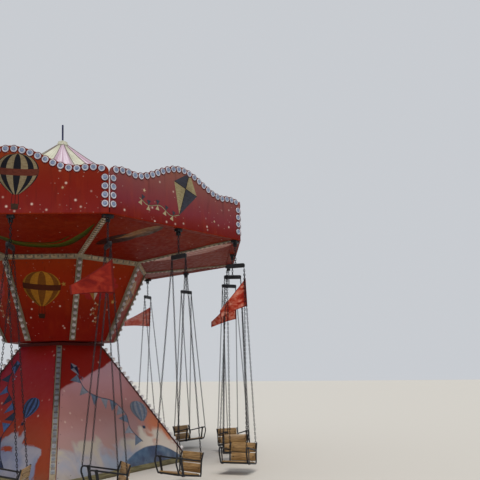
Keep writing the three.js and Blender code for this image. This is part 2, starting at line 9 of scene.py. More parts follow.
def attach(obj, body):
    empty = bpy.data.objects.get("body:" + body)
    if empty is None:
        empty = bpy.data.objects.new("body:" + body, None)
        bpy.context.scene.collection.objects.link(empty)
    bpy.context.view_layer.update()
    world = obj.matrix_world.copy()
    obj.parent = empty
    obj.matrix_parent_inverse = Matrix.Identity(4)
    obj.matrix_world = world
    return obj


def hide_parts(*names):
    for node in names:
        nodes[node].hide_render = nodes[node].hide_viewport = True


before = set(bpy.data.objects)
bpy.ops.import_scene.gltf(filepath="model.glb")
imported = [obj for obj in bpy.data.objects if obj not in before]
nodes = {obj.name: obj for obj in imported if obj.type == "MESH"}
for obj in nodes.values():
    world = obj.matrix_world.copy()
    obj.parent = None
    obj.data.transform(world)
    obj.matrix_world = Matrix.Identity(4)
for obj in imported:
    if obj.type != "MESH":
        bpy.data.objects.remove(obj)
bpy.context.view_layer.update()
print("frame loaded:", len(nodes), "nodes")

# Where the ride's faces and hooks are, in metres and degrees; a ring is (radius, height)
ride = {
    "sides": 8,
    "firstCorner": -31.6,
    "cornerStep": 45.0,
    "crownFoot": (3.45, 3.79),
    "soffitRim": (3.2995, 3.79),
    "drumHead": (1.572, 3.552),
    "drumFoot": (0.942, 2.197),
    "baseSides": 4,
    "baseFirstCorner": -45.0,
    "baseStep": 90.0,
    "baseHead": (0.667, 2.2),
    "baseFoot": (2.313, 0),
    "cornerHookRadius": 3.35,
    "middleHookRadius": 3.108,
}
boardSide = 2 * ride["crownFoot"][0] * math.sin(math.radians(ride["cornerStep"] / 2))


# Angle of the head's corner k, or of a place between two corners where k isn't whole
def cornerAngle(k):
    return ride["firstCorner"] + ride["cornerStep"] * k


def baseAngle(k):
    return ride["baseFirstCorner"] + ride["baseStep"] * k


# A point by its radius, its angle in degrees and its height
def polar(radius, angle, z):
    return np.array([radius * math.cos(math.radians(angle)), radius * math.sin(math.radians(angle)), z])


# The level way square to the radius at an angle
def sideways(angle):
    return np.array([-math.sin(math.radians(angle)), math.cos(math.radians(angle)), 0])


# A point at or near one of the ride's rings, moved outward and down
def ringPoint(ring, angle, proud=0.0, drop=0.0):
    radius, height = ride[ring]
    return polar(radius + proud, angle, height - drop)


def unit(vectors):
    return vectors / np.linalg.norm(vectors, axis=-1, keepdims=True)


# Cell (i, j) of a grid joins points (i, j), (i, j+1), (i+1, j+1) and (i+1, j)
def gridFaces(rows, columns, wrapColumns=False, wrapRows=False):
    i = np.arange(rows if wrapRows else rows - 1)[:, None]
    j = np.arange(columns if wrapColumns else columns - 1)[None, :]
    here, below = i * columns, (i + 1) % rows * columns
    after = (j + 1) % columns
    corners = (here + j, here + after, below + after, below + j)
    return np.stack(np.broadcast_arrays(*corners), axis=-1).reshape(-1, 4)


# A form is a set of arrays: its points with their values, and four-cornered faces with their finishes
def form(points, faces, finish=0, **values):
    return {"points": points.reshape(-1, 3), "faces": faces, "finish": np.full(len(faces), finish), **values}


# Forms one after another: each one's faces count on from the points before it
def joined(forms):
    starts = np.cumsum([0] + [len(f["points"]) for f in forms[:-1]])
    whole = {"faces": np.concatenate([f["faces"] + start for f, start in zip(forms, starts)])}
    for key in forms[0]:
        if key != "faces":
            whole[key] = np.concatenate([f[key] for f in forms])
    return whole


# Copy m of a form: each point times the copy's three axes, plus its origin
def copies(shape, origins, axes):
    origins, axes = np.asarray(origins, float), np.asarray(axes, float)
    count = len(origins)
    points = np.einsum("pk,mkc->mpc", shape["points"], axes) + origins[:, None, :]
    faces = shape["faces"][None] + (np.arange(count) * len(shape["points"]))[:, None, None]
    placed = {"points": points.reshape(-1, 3), "faces": faces.reshape(-1, 4)}
    for key, values in shape.items():
        if key not in placed:
            placed[key] = np.concatenate([values] * count)
    return placed


# Ring i, side j: the ring's radius times (cos, sin) of the side's angle, at the ring's height
def turned(profile, sides, finish=0):
    radius, height = np.array(profile, float).T[:, :, None]
    angle = np.arange(sides)[None, :] * 2 * np.pi / sides
    points = np.stack(np.broadcast_arrays(radius * np.cos(angle), radius * np.sin(angle), height), axis=-1)
    return form(points, gridFaces(len(profile), sides, wrapColumns=True), finish)


# A section carried along a path: centre + a * side + b * up at each step, and each end closed on its centre
def carried(path, section, across):
    path = np.asarray(path, float)
    along = unit(np.gradient(path, axis=0))
    up = unit(np.cross(along, across))
    side = np.cross(up, along)
    ends = np.r_[0, np.arange(len(path)), len(path) - 1]
    size = np.ones(len(ends))
    size[[0, -1]] = 0
    ring = section[None, :, :1] * side[ends][:, None] + section[None, :, 1:] * up[ends][:, None]
    points = path[ends][:, None] + size[:, None, None] * ring
    return form(points, gridFaces(len(ends), len(section), wrapColumns=True))


# Catmull-Rom: on each span the four nearest points are weighed by cubic polynomials
def smoothPath(controls, perSpan):
    p = np.asarray(controls, float)
    p = np.concatenate([2 * p[:1] - p[1:2], p, 2 * p[-1:] - p[-2:-1]])
    t = np.arange(perSpan) / perSpan
    first, last = -t + 2 * t**2 - t**3, t**3 - t**2
    weights = 0.5 * np.stack([first, 2 - 5 * t**2 + 3 * t**3, t + 4 * t**2 - 3 * t**3, last], axis=1)
    spans = np.stack([p[i:len(p) - 3 + i] for i in range(4)], axis=1)
    curve = np.einsum("tk,skc->stc", weights, spans).reshape(-1, p.shape[1])
    return np.concatenate([curve, p[-2:-1]])


# A circle's (cos, sin) times the radius, at even steps
def roundSection(radius, sides):
    angle = np.arange(sides) * 2 * np.pi / sides
    return radius * np.stack([np.cos(angle), np.sin(angle)], axis=1)


# A rectangle with its four corners cut
def flatSection(width, height, cut):
    x, y = width / 2, height / 2
    return np.array([(x, cut - y), (x, y - cut), (x - cut, y), (cut - x, y),
                     (-x, y - cut), (-x, cut - y), (cut - x, -y), (x - cut, -y)])


# A rounded rectangle carried through an edge of (inset, height) steps; each face closes on the middle line
def roundedBoard(width, length, thickness, corner, edge, perCorner=5):
    angle = (np.arange(4)[:, None] * np.pi / 2 + np.linspace(0, np.pi / 2, perCorner)).ravel()
    direction = np.stack([np.cos(angle), np.sin(angle)], axis=1)
    signs = np.repeat([(1, 1), (-1, 1), (-1, -1), (1, -1)], perCorner, axis=0)
    centre = signs * (np.array([width, length]) / 2 - corner)
    rings = []
    for inset, height in ((edge, 0), (0, edge), (0, thickness - edge), (edge, thickness)):
        outline = centre + (corner - inset) * direction
        rings.append(np.column_stack([outline, np.full(len(outline), height)]))
    middle = [rings[k] * [1, 0, 1] for k in (0, -1)]
    points = np.stack([middle[0], *rings, middle[1]])
    return form(points, gridFaces(len(points), len(angle), wrapColumns=True))


def newObject(name, data):
    placed = bpy.data.objects.new(name, data)
    bpy.context.scene.collection.objects.link(placed)
    return placed


# A mesh of four-cornered faces with its finishes, its paint and own place as attributes, and its body
def makePiece(name, shape, looks, body, replaces=(), weld=True, sharp=35):
    mesh = bpy.data.meshes.new(name)
    count = len(shape["faces"])
    mesh.vertices.add(len(shape["points"]))
    mesh.vertices.foreach_set("co", shape["points"].astype(np.float32).ravel())
    mesh.loops.add(4 * count)
    mesh.loops.foreach_set("vertex_index", shape["faces"].astype(np.int32).ravel())
    mesh.polygons.add(count)
    mesh.polygons.foreach_set("loop_start", np.arange(0, 4 * count, 4, dtype=np.int32))
    mesh.polygons.foreach_set("material_index", shape["finish"].astype(np.int32))
    mesh.update(calc_edges=True)
    if "colour" in shape:
        layer = mesh.attributes.new("paintColour", "FLOAT_COLOR", "CORNER")
        rgba = np.column_stack([shape["colour"], np.ones(len(shape["colour"]))])[shape["faces"].ravel()]
        layer.data.foreach_set("color", rgba.astype(np.float32).ravel())
    if "place" in shape:
        layer = mesh.attributes.new("ownPlace", "FLOAT_VECTOR", "POINT")
        layer.data.foreach_set("vector", shape["place"].astype(np.float32).ravel())
    if weld:
        shell = bmesh.new()
        shell.from_mesh(mesh)
        bmesh.ops.remove_doubles(shell, verts=shell.verts, dist=1e-5)
        bmesh.ops.dissolve_degenerate(shell, dist=1e-6, edges=shell.edges)
        shell.to_mesh(mesh)
        shell.free()
    mesh.polygons.foreach_set("use_smooth", np.ones(len(mesh.polygons), bool))
    mesh.set_sharp_from_angle(angle=math.radians(sharp))
    for look in looks.split():
        mesh.materials.append(finishes[look])
    piece = newObject(name, mesh)
    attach(piece, body)
    if replaces:
        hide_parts(*replaces)
    return piece


# A sheet of cloth gets its thickness: inward at -1, to both sides at 0
def thicken(cloth, thickness, offset):
    solid = cloth.modifiers.new("cloth thickness", "SOLIDIFY")
    solid.thickness = thickness
    solid.offset = offset


# Colours are six hex digits; nodes want them linear, by the curve of the display
def colour(code):
    shares = np.array([int(code[k:k + 2], 16) for k in (0, 2, 4)]) / 255
    linear = np.where(shares <= 0.04045, shares / 12.92, ((shares + 0.055) / 1.055) ** 2.4)
    return tuple(float(x) for x in linear)


def isWired(value):
    return isinstance(value, bpy.types.NodeSocket)


def feed(socket, value):
    if isWired(value):
        socket.id_data.links.new(value, socket)
    elif hasattr(value, "__len__") and len(value) == 3 and socket.type == "RGBA":
        socket.default_value = (*value, 1)
    else:
        socket.default_value = value


# A node in the tree of its first wired input; the inputs come in order, or under their names
def newNode(kind, inputs, **settings):
    pairs = list(inputs.items() if isinstance(inputs, dict) else enumerate(inputs))
    tree = next(value.id_data for key, value in pairs if isWired(value))
    node = tree.nodes.new(f"ShaderNode{kind}")
    for key, value in settings.items():
        setattr(node, key, value)
    for key, value in pairs:
        feed(node.inputs[key], value)
    return node


def mapped(place, scale=(1, 1, 1), move=(0, 0, 0)):
    return newNode("Mapping", {"Vector": place, "Scale": scale, "Location": move}).outputs[0]


def parts(vector):
    return newNode("SeparateXYZ", [vector]).outputs


def noise(place, scale, detail=4, distortion=0.0):
    inputs = {"Vector": place, "Scale": scale, "Detail": detail, "Distortion": distortion}
    return newNode("TexNoise", inputs).outputs[0]


def sums(operation, first, second=0.0, third=0.0):
    return newNode("Math", [first, second, third], operation=operation).outputs[0]


def times(first, second):
    return sums("MULTIPLY", first, second)


def less(first, second):
    return sums("SUBTRACT", first, second)


def timesPlus(first, second, third):
    return sums("MULTIPLY_ADD", first, second, third)


def remap(value, low, high, start=0.0, end=1.0, soft=True):
    way = "SMOOTHSTEP" if soft else "LINEAR"
    return newNode("MapRange", [value, low, high, start, end], interpolation_type=way).outputs[0]


def mix(amount, first, second, blend="MIX"):
    inputs = {0: amount, 6: first, 7: second}  # 6 and 7 are the node's two colours
    return newNode("Mix", inputs, data_type="RGBA", blend_type=blend).outputs[2]


def ramp(value, stops):
    node = newNode("ValToRGB", [value])
    elements = node.color_ramp.elements
    while len(elements) < len(stops):
        elements.new(0.5)
    for element, (position, shade) in zip(elements, stops):
        element.position = position
        element.color = (*colour(shade), 1)
    return node.outputs[0]


def bump(height, distance, strength=1.0, below=None):
    inputs = {"Height": height, "Distance": distance, "Strength": strength}
    if below is not None:
        inputs["Normal"] = below
    return newNode("Bump", inputs).outputs[0]


# Soft round dots: how near the closest scattered point is, raised to a power so that the middle glows
def dots(place, scale, reach):
    node = newNode("TexVoronoi", {"Vector": place, "Scale": scale})
    return sums("POWER", remap(node.outputs["Distance"], 0.0, reach * scale, 1, 0), 1.5)


def shaderInputs(material):
    return material.node_tree.nodes["Principled BSDF"].inputs


def startMaterial(name, roughness=0.5, metallic=0.0, coat=0.0, gloss=0.4, ior=1.45):
    material = bpy.data.materials.new(name)
    material.use_nodes = True
    values = {"Roughness": roughness, "Metallic": metallic, "Coat Weight": coat, "Coat Roughness": 0.2,
              "Specular IOR Level": gloss, "IOR": ior}
    for key, value in values.items():
        shaderInputs(material)[key].default_value = value
    return material


def objectPlace(material):
    return material.node_tree.nodes.new("ShaderNodeTexCoord").outputs["Object"]


def attribute(material, name):
    node = material.node_tree.nodes.new("ShaderNodeAttribute")
    node.attribute_name = name
    return node.outputs


def ownPlace(material):
    return attribute(material, "ownPlace")["Vector"]


# A shade over the paint, growing to its amount where a noise of (scale, detail) climbs from low to high
def stained(paint, place, pattern, low, high, amount, shade, stretch=None):
    if stretch:
        place = mapped(place, stretch)
    return mix(remap(noise(place, *pattern), low, high, 0, amount), paint, colour(shade))


# Wires up the shader. Rough is (scale, detail, smoothest, roughest) of a noise and relief (scale, detail,
# depth, strength) of another, or each is a socket that already gives it
def finished(material, paint, place=None, rough=None, relief=None):
    if isinstance(rough, tuple):
        rough = remap(noise(place, *rough[:2]), 0.3, 0.7, *rough[2:])
    if isinstance(relief, tuple):
        relief = bump(noise(place, *relief[:2]), *relief[2:])
    for key, value in (("Base Color", paint), ("Roughness", rough), ("Normal", relief)):
        if value is not None:
            feed(shaderInputs(material)[key], value)
    return material


# A plain finish: shades that a noise picks, stains over them, on the object's place or the piece's own
def mottled(name, pattern, shades, stains=(), rough=None, relief=None, own=False, **values):
    material = startMaterial(name, **values)
    place = ownPlace(material) if own else objectPlace(material)
    paint = ramp(noise(place, *pattern), shades)
    for stain in stains:
        paint = stained(paint, place, *stain)
    return finished(material, paint, place, rough, relief)


enamel = {
    "ior": 1.25,
    "gloss": 0.3,
    "dullGloss": 0.1,
    "streak": "b04818",
    "starlight": "e6d2c4",
    "starScale": 6.5,
    "starReach": 0.03,
    "starStrength": 0.85,
    "grime": "2a0c08",
    "grimeStretch": (7, 7, 0.8),
    "relief": (60, 4, 0.0006, 0.5),
}


# Enamel that runs through several shades from foot to top, with soft star dots, brushed streaks and grime
def panelEnamel(name, heights, shades, wander=0.25, reach=enamel["starReach"], gloss=enamel["gloss"]):
    material = startMaterial(name, gloss=gloss, ior=enamel["ior"])
    place = objectPlace(material)
    level = timesPlus(less(noise(place, 0.9, 3), 0.5), wander, parts(place)[2])
    paint = ramp(remap(level, *heights, soft=False), shades)
    streaks = noise(mapped(place, (5, 5, 1.2)), 1.6, 5)
    tinted = mix(0.3, paint, colour(enamel["streak"]))
    paint = mix(remap(streaks, 0.45, 0.75, 0, 0.35), paint, tinted)
    stars = dots(place, enamel["starScale"], reach)
    small = dots(mapped(place, move=(3.1, 1.7, 2.3)), 2 * enamel["starScale"], 0.4 * reach)
    shine = times(sums("MAXIMUM", stars, times(small, 0.5)), enamel["starStrength"])
    paint = mix(shine, paint, colour(enamel["starlight"]))
    paint = stained(paint, place, (2.2, 6), 0.55, 0.85, 0.4, enamel["grime"], enamel["grimeStretch"])
    return finished(material, paint, place, (14, 5, 0.4, 0.6), enamel["relief"])


skyPaint = {
    "slope": 1.131,  # way up the slope for each metre of height
    "top": 2.45,
    "glowAcross": (-0.1, -0.6),
    "glowUp": (1.2, 2.1),
    "glowShare": 0.75,
    "hazeBlur": 0.02,
    "hazeShare": 0.96,
    "warmAcross": (0.55, 1.05),
    "warmLevel": (1.25, 0.8),
    "warmShare": 0.85,
    "cloudLit": (0.15, 0.85),
    "cloudEndPlace": (1.0, 1.35),
    "cloudShare": 0.94,
    "starlight": "e0c8b8",
    "starScale": 6.0,
    "starReach": 0.034,
    "grime": "4a3028",
    "mud": "6c5c4c",
}


# The base panel's painted sky, by the way up the slope: reds with a glow, and billowing clouds at the foot.
# The evening panels add haze below a slanting edge, a warm light at one side and a hill
def skyEnamel(name, axis, sign, seed, sky):
    material = startMaterial(name, gloss=enamel["gloss"], ior=enamel["ior"])
    place = objectPlace(material)
    x, y, height = parts(place)[:3]
    across = times({"x": x, "y": y}[axis], sign)
    up = times(height, skyPaint["slope"])
    drift = mapped(place, move=(seed, 2 * seed, 0))
    soft = less(noise(drift, 1.1, 3), 0.5)
    billow = noise(drift, 2.6, 5, 0.5)
    level = timesPlus(soft, 0.5, up)
    share = remap(level, 0.0, skyPaint["top"], soft=False)
    paint = ramp(share, sky["shades"])
    glow = times(remap(across, *skyPaint["glowAcross"]), remap(up, *skyPaint["glowUp"]))
    paint = mix(times(glow, skyPaint["glowShare"]), paint, colour(sky["glow"]))
    if "haze" in sky:
        edge = less(timesPlus(across, sky["hazeSlope"], up), sky["hazeTop"])
        blur = skyPaint["hazeBlur"]
        haze = remap(timesPlus(soft, 0.25, edge), -blur, blur, skyPaint["hazeShare"], 0)
        paint = mix(haze, paint, ramp(share, sky["haze"]))
        warmth = times(remap(across, *skyPaint["warmAcross"]), remap(level, *skyPaint["warmLevel"]))
        paint = mix(times(warmth, skyPaint["warmShare"]), paint, colour(sky["warmth"]))
    top = timesPlus(across, sky["cloudSlope"], sky["cloudTop"])
    top = timesPlus(less(billow, 0.5), 1.1, top)
    top = less(top, remap(across, *skyPaint["cloudEndPlace"], 0, sky["cloudEnd"]))
    cloud = ramp(billow, sky["clouds"])
    if "cloudLight" in sky:
        lit = remap(across, *skyPaint["cloudLit"], 0, 0.85)
        cloud = mix(lit, cloud, colour(sky["cloudLight"]))
    clouds = remap(less(top, up), -0.05, sky["cloudBlur"])
    paint = mix(times(clouds, skyPaint["cloudShare"]), paint, cloud)
    if "hillTop" in sky:
        away = less(across, sky["hillPlace"])
        away = sums("MAXIMUM", times(away, 1.8), times(away, -1.0))
        peak = remap(away, 0.1, 2.0, sky["hillTop"], -0.14)
        rise = timesPlus(soft, 0.18, less(peak, up))
        rock = ramp(noise(drift, 3.5, 6, 0.4), sky["hill"])
        paint = mix(remap(rise, -0.005, 0.02, 0, 0.95), paint, rock)
    stars = dots(place, skyPaint["starScale"], skyPaint["starReach"])
    stars = times(stars, remap(level, 0.7, 1.1))
    paint = mix(times(stars, 0.7), paint, colour(skyPaint["starlight"]))
    paint = stained(paint, place, (2.0, 6), 0.58, 0.88, 0.22, skyPaint["grime"], (8, 8, 0.7))
    splash = times(remap(height, 0.05, 0.3, 1, 0), noise(place, 12, 5))
    paint = mix(times(splash, 0.4), paint, colour(skyPaint["mud"]))
    return finished(material, paint, place, (11, 5, 0.45, 0.62), (50, 4, 0.0006, 0.5))


# Painted motifs take their colour from the piece, broken up by brush strokes
def pictureEnamel():
    material = startMaterial("picture enamel", gloss=enamel["gloss"], ior=enamel["ior"])
    own = attribute(material, "paintColour")["Color"]
    place = objectPlace(material)
    strokes = noise(mapped(place, (3, 3, 9)), 7, 5, 0.5)
    darker = mix(1.0, own, colour("b08d78"), "MULTIPLY")
    paint = mix(remap(strokes, 0.35, 0.7, 0.0, 0.45), own, darker)
    paint = stained(paint, place, (2.2, 6), 0.55, 0.85, 0.3, "2a1610", enamel["grimeStretch"])
    return finished(material, paint, place, (14, 5, 0.32, 0.55), bump(strokes, 0.0008, 0.5))


strip = {
    "shades": [(0.3, "62584a"), (0.5, "807460"), (0.75, "9a8e78")],
    "spots": "5f5140",
    # The collar's dark red is painted shade: it stands for the shadowed gap between base and drum
    "collar": "4e0c06",
    "collarFoot": 2.125,
    "collarTop": 2.191,
}


# Beige lamp strips, spotted and dull; the collar between base and drum is dark red painted shade
def stripEnamel():
    material = startMaterial("cream strip", gloss=0.2, ior=1.3)
    place = objectPlace(material)
    paint = ramp(noise(place, 3.0, 5), strip["shades"])
    spots = remap(noise(place, 26, 6), 0.55, 0.72)
    paint = mix(times(spots, 0.45), paint, colour(strip["spots"]))
    height = parts(place)[2]
    # Painted shade: the band from the collar's foot to its top takes the dark red of the shadowed gap
    foot, top = strip["collarFoot"], strip["collarTop"]
    collar = times(remap(height, foot - 0.001, foot + 0.001), remap(height, top - 0.001, top + 0.001, 1, 0))
    paint = mix(collar, paint, colour(strip["collar"]))
    return finished(material, paint, place, remap(spots, 0, 1, 0.42, 0.68), (40, 5, 0.0008, 0.6))


plasticRelief = (120, 3, 0.0004, 0.5)


# Cap plastic lets a little light through
def capPlastic():
    shades = [(0.35, "a2a2ac"), (0.6, "bebec8")]
    material = mottled("lamp cap plastic", (8, 4), shades, relief=plasticRelief, roughness=0.35, coat=0.05)
    shaderInputs(material)["Subsurface Weight"].default_value = 0.08
    shaderInputs(material)["Subsurface Radius"].default_value = (0.01, 0.01, 0.01)
    return material


# Lamps on the strips: greyed plastic, dark to light, blotched where the dirt sits
def tilePlastic(name, codes, blot):
    stains = [((38, 5), 0.5, 0.68, 0.4, blot)]
    return mottled(name, (5, 5), list(zip((0.3, 0.5, 0.72), codes.split())), stains, relief=plasticRelief,
                   roughness=0.45, coat=0.05, gloss=0.3)


# Painted steel: rust comes through in spots and dust lies in streaks
def paintedSteel(name, shades, rust=0.62, rough=(0.38, 0.62), metallic=0.35, own=False, dust=0.3):
    stains = [((18, 7), rust, rust + 0.08, 0.7, "5a2f1a"), ((3, 5), 0.5, 0.8, dust, "6d665c", (6, 6, 1))]
    return mottled(name, (5, 5), list(zip((0.3, 0.7), shades.split())), stains, (22, 5, *rough),
                   (70, 5, 0.0006, 0.6), own, metallic=metallic)


# Varnished plywood: grain runs across the seat, patches are browner, dirt gathers in the pores
def seatPlywood():
    material = startMaterial("seat plywood", coat=0.1)
    place = ownPlace(material)
    grain = noise(mapped(place, (1.3, 16, 16)), 4, 7, 0.8)
    wood = ramp(grain, [(0.28, "6c5230"), (0.45, "8c6e46"), (0.6, "a48456"), (0.8, "b49668")])
    wood = stained(wood, place, (3.5, 4), 0.4, 0.75, 0.5, "7a5a34")
    wood = stained(wood, place, (5, 3), 0.6, 0.72, 0.5, "4a3212", (3, 60, 60))
    return finished(material, wood, rough=remap(grain, 0.3, 0.7, 0.55, 0.36), relief=bump(grain, 0.0008, 0.6))


# Plinth timber: weathered planks with long grain, muddy at the foot
def plinthTimber():
    material = startMaterial("plinth timber", roughness=0.8)
    place = objectPlace(material)
    grain = noise(mapped(place, (1.5, 1.5, 22)), 3.5, 7, 0.6)
    wood = ramp(grain, [(0.3, "4c4632"), (0.5, "6e684a"), (0.7, "8a8260")])
    wood = mix(remap(parts(place)[2], 0.0, 0.05, 0.7, 0), wood, colour("4b3f2e"))
    return finished(material, wood, relief=bump(grain, 0.002, 0.8))


# Tarpaulin: gores of two colours by the piece's own third number, rose streaks, darker folds, fine weave
def tentTarpaulin():
    material = startMaterial("tent tarpaulin", roughness=0.55)
    own, place = ownPlace(material), objectPlace(material)
    cream = ramp(noise(place, 2.2, 5), [(0.3, "aaaa98"), (0.5, "bfc0ac"), (0.75, "d6d6c8")])
    streaks = noise(mapped(own, (7, 2.2, 3)), 1.0, 6, 0.4)
    # The rose streaks are partly the cloth's own mottling and partly painted highlight: their pale end is
    # light on the wrinkles
    rose = ramp(streaks, [(0.3, "987888"), (0.48, "b89eb0"), (0.68, "dccedc")])
    cloth = mix(parts(own)[2], cream, rose)
    folds = noise(mapped(own, (9, 1.1, 3)), 1.0, 4)
    # Darker toward green-grey along the folds
    cloth = mix(remap(folds, 0.55, 0.75, 0, 0.35), cloth, colour("6f7258"))
    weave = bump(noise(place, 240, 2), 0.0006, 0.4, bump(folds, 0.02, 0.7))
    return finished(material, cloth, relief=weave)


# Pennant cloth: patches of painted light, fine weave, darker hems near the edges that the piece's marks give
def pennantCloth(name, shades, hem):
    material = startMaterial(name, roughness=0.8, gloss=0.2)
    place = ownPlace(material)
    # Painted light and shade: the ramp's patches run from shaded deep red to lit pale red
    cloth = ramp(noise(mapped(place, (1, 1.5, 1)), 7.5, 4, 0.8), shades)
    down, out = parts(attribute(material, "paintColour")["Vector"])[:2]
    aside = sums("ABSOLUTE", less(down, 0.5))
    border = sums("MAXIMUM", remap(aside, 0.44, 0.47), remap(out, 0.95, 0.965))
    border = sums("MAXIMUM", border, remap(out, 0.045, 0.06, 1, 0))
    cloth = mix(times(border, 0.75), cloth, colour(hem))
    threads = [noise(mapped(place, stretch), 1, 1) for stretch in ((600, 80, 80), (80, 600, 80))]
    return finished(material, cloth, relief=bump(sums("ADD", *threads), 0.0006, 0.5))


finishes = {
    "orange": panelEnamel("orange board enamel", (3.8, 4.7), [
        (0.0, "731c1a"), (0.15, "731a14"), (0.4, "721709"), (0.6, "731d09"), (0.8, "77280c"),
        (1.0, "7c3414")]),
    # The rose boards' pink is partly their own paint and partly painted reflection of the sky
    "rose": panelEnamel("rose board enamel and painted sky reflection", (3.8, 4.7), [
        (0.0, "66100c"), (0.1, "6c1a18"), (0.26, "722a32"), (0.5, "763a3c"), (0.7, "7a4844"),
        (1.0, "815644")]),
    "drum": panelEnamel("drum enamel", (2.2, 3.55), [
        (0.0, "74120a"), (0.15, "78140a"), (0.3, "76170a"), (0.5, "81220b"), (0.75, "8a250c"),
        (1.0, "862b0a")], reach=0.026, gloss=enamel["dullGloss"]),
    "soffit": panelEnamel("soffit enamel", (3.5, 3.85), [
        (0.0, "681306"), (0.4, "6d1607"), (0.75, "721f0a"), (1.0, "6a1306")],
        wander=0.4, reach=0.016, gloss=enamel["dullGloss"]),
    "picture": pictureEnamel(),
    "cream": stripEnamel(),
    "cap": capPlastic(),
    "lens": mottled("lamp lens", (30, 3), [(0.35, "5c6a84"), (0.65, "7f8eac")],
                    relief=(90, 3, 0.0005, 0.6), roughness=0.25, coat=0.2),
    "tile": tilePlastic("lamp tile plastic", "857a7e 9c9092 b4a8a4", "6c6468"),
    "creamTile": tilePlastic("cream tile plastic", "86725a a08a6e baa68a", "66543e"),
    "greyTile": tilePlastic("grey tile plastic", "63676e 767a82 8c8f96", "5e5658"),
    "dome": tilePlastic("lamp dome plastic", "8e8688 b2aaa8 d0c8c4", "7c7476"),
    # The bulbs' near-white is partly their own white and partly painted light, brightened to look lit by the
    # sky
    "bulb": tilePlastic("bulb plastic brightened as painted light", "dcd6d4 f0ecea fcfafa", "c4b8b8"),
    "gap": tilePlastic("lamp gap plastic", "4a403a 64584e 7a6e60", "3c3028"),
    "darkGap": tilePlastic("dark gap plastic", "241a16 32261f 463830", "1c1412"),
    "greyGap": tilePlastic("grey gap plastic", "484448 5c5658 6c6664", "40383a"),
    "edge": mottled("dark red edge paint", (6, 5), [(0.3, "400a0c"), (0.6, "62141a"), (0.8, "7c2a28")],
                    rough=(25, 5, 0.35, 0.6), relief=enamel["relief"], gloss=0.2, ior=1.3),
    "steel": paintedSteel("dark painted steel", "181a1e 26282c", dust=0.2),
    "navy": paintedSteel("navy painted steel", "141a3a 222c58", rust=0.66),
    "chairSteel": paintedSteel("chair frame enamel", "101216 1a1c22", rust=0.7, own=True,
                               metallic=0.1, dust=0.12),
    "seam": paintedSteel("tent seam tape", "6a5c60 8a8078", rust=0.8, rough=(0.6, 0.8), metallic=0.0),
    "white": paintedSteel("white corner strip", "bcb8bc d8d4d8", rust=0.78, rough=(0.4, 0.6), metallic=0.0),
    "chain": mottled("chain steel", (9, 5), [(0.3, "17181d"), (0.6, "26272d"), (0.8, "403f40")],
                     [((30, 6), 0.58, 0.7, 0.6, "4f3020")], (40, 4, 0.32, 0.6), (160, 3, 0.0003, 0.5),
                     own=True, metallic=0.75),
    "wood": seatPlywood(),
    "timber": plinthTimber(),
    "tent": tentTarpaulin(),
    "pennant": pennantCloth("orange red pennant cloth", [
        (0.36, "981e14"), (0.48, "b8402c"), (0.58, "cc7460"), (0.72, "dc9a88")], "8c1410"),
    # Painted light: the far pennant's cloth is paler, as if lit from behind by the sky
    "backlitPennant": pennantCloth("backlit pennant cloth", [
        (0.36, "ee7868"), (0.48, "f89688"), (0.58, "feb2a8"), (0.72, "ffcac2")], "c04438"),
    # Painted shade: the front pennant's cloth is darker, as if in the shade of the head
    "shadedPennant": pennantCloth("shaded pennant cloth", [
        (0.34, "68100a"), (0.5, "7e1c0f"), (0.68, "902e1c")], "520c08"),
}
print("finishes ready:", len(finishes))


def refinish(node, material):
    mesh = nodes[node].data
    mesh.materials.clear()
    mesh.materials.append(material)


# CAD nodes that keep their shape, and the finish that each one gets
dressing = {
    "drum_shell": "drum",
    "soffit_shell": "soffit",
    "head_light_strips": "cream",
    "base_light_strips": "cream",
    "sweep_frame": "steel",
    "centre_pole": "navy",
    "ground_frame": "timber",
}
for k in range(1, ride["sides"] + 1):
    dressing[f"crown_board_{k}"] = "rose" if k % 2 else "orange"
for node, finish in dressing.items():
    refinish(node, finishes[finish])

# The base's two painted skies: shades from foot to top, and where their haze, clouds and hill lie
evening = {
    "shades": [(0.0, "9c867a"), (0.36, "b46047"), (0.5, "923d28"), (0.62, "901c0e"), (0.75, "8e170a"),
               (1.0, "84150b")],
    "haze": [(0.1, "947e76"), (0.33, "a48180"), (0.45, "a97a76"), (0.55, "bc8685"), (0.68, "c6969c"),
             (0.8, "c49aa4")],
    "hazeTop": 1.85,
    "hazeSlope": -0.38,
    "warmth": "d27a50",
    "clouds": [(0.36, "8592a5"), (0.48, "98969e"), (0.62, "aaa296")],
    "cloudLight": "dcd2c4",
    "glow": "84150b",
    "cloudTop": 0.62,
    "cloudSlope": 0.0,
    "cloudEnd": 0.0,
    "cloudBlur": 0.18,
    "hill": [(0.35, "2c4060"), (0.5, "415d7a"), (0.7, "6c7c90")],
    "hillTop": 0.40,
    "hillPlace": 0.85,
}
night = {
    "shades": [(0.0, "77351a"), (0.28, "843620"), (0.42, "8e2e1d"), (0.55, "962624"), (0.68, "941f24"),
               (0.82, "951e26"), (0.92, "94191a"), (1.0, "881809")],
    "clouds": [(0.36, "6a7490"), (0.48, "788094"), (0.62, "8c8c98")],
    "glow": "881430",
    "cloudTop": 0.76,
    "cloudSlope": -0.2,
    "cloudEnd": 0.5,
    "cloudBlur": 0.03,
}
for side, axis, sign, seed, sky in (("right", "y", 1, 0.4, evening), ("back", "x", -1, 2.1, night),
                                    ("left", "y", -1, 3.6, evening), ("front", "x", 1, 5.2, night)):
    refinish(f"base_panel_{side}", skyEnamel(f"{side} sky enamel", axis, sign, seed, sky))


# A flat face of the ride: an origin on it, the way right as seen from outside, the way up and the way out
def facePlace(origin, right, up):
    right, up = unit(np.array(right, float)), unit(np.array(up, float))
    return {"origin": np.array(origin, float), "right": right, "up": up, "out": np.cross(right, up)}


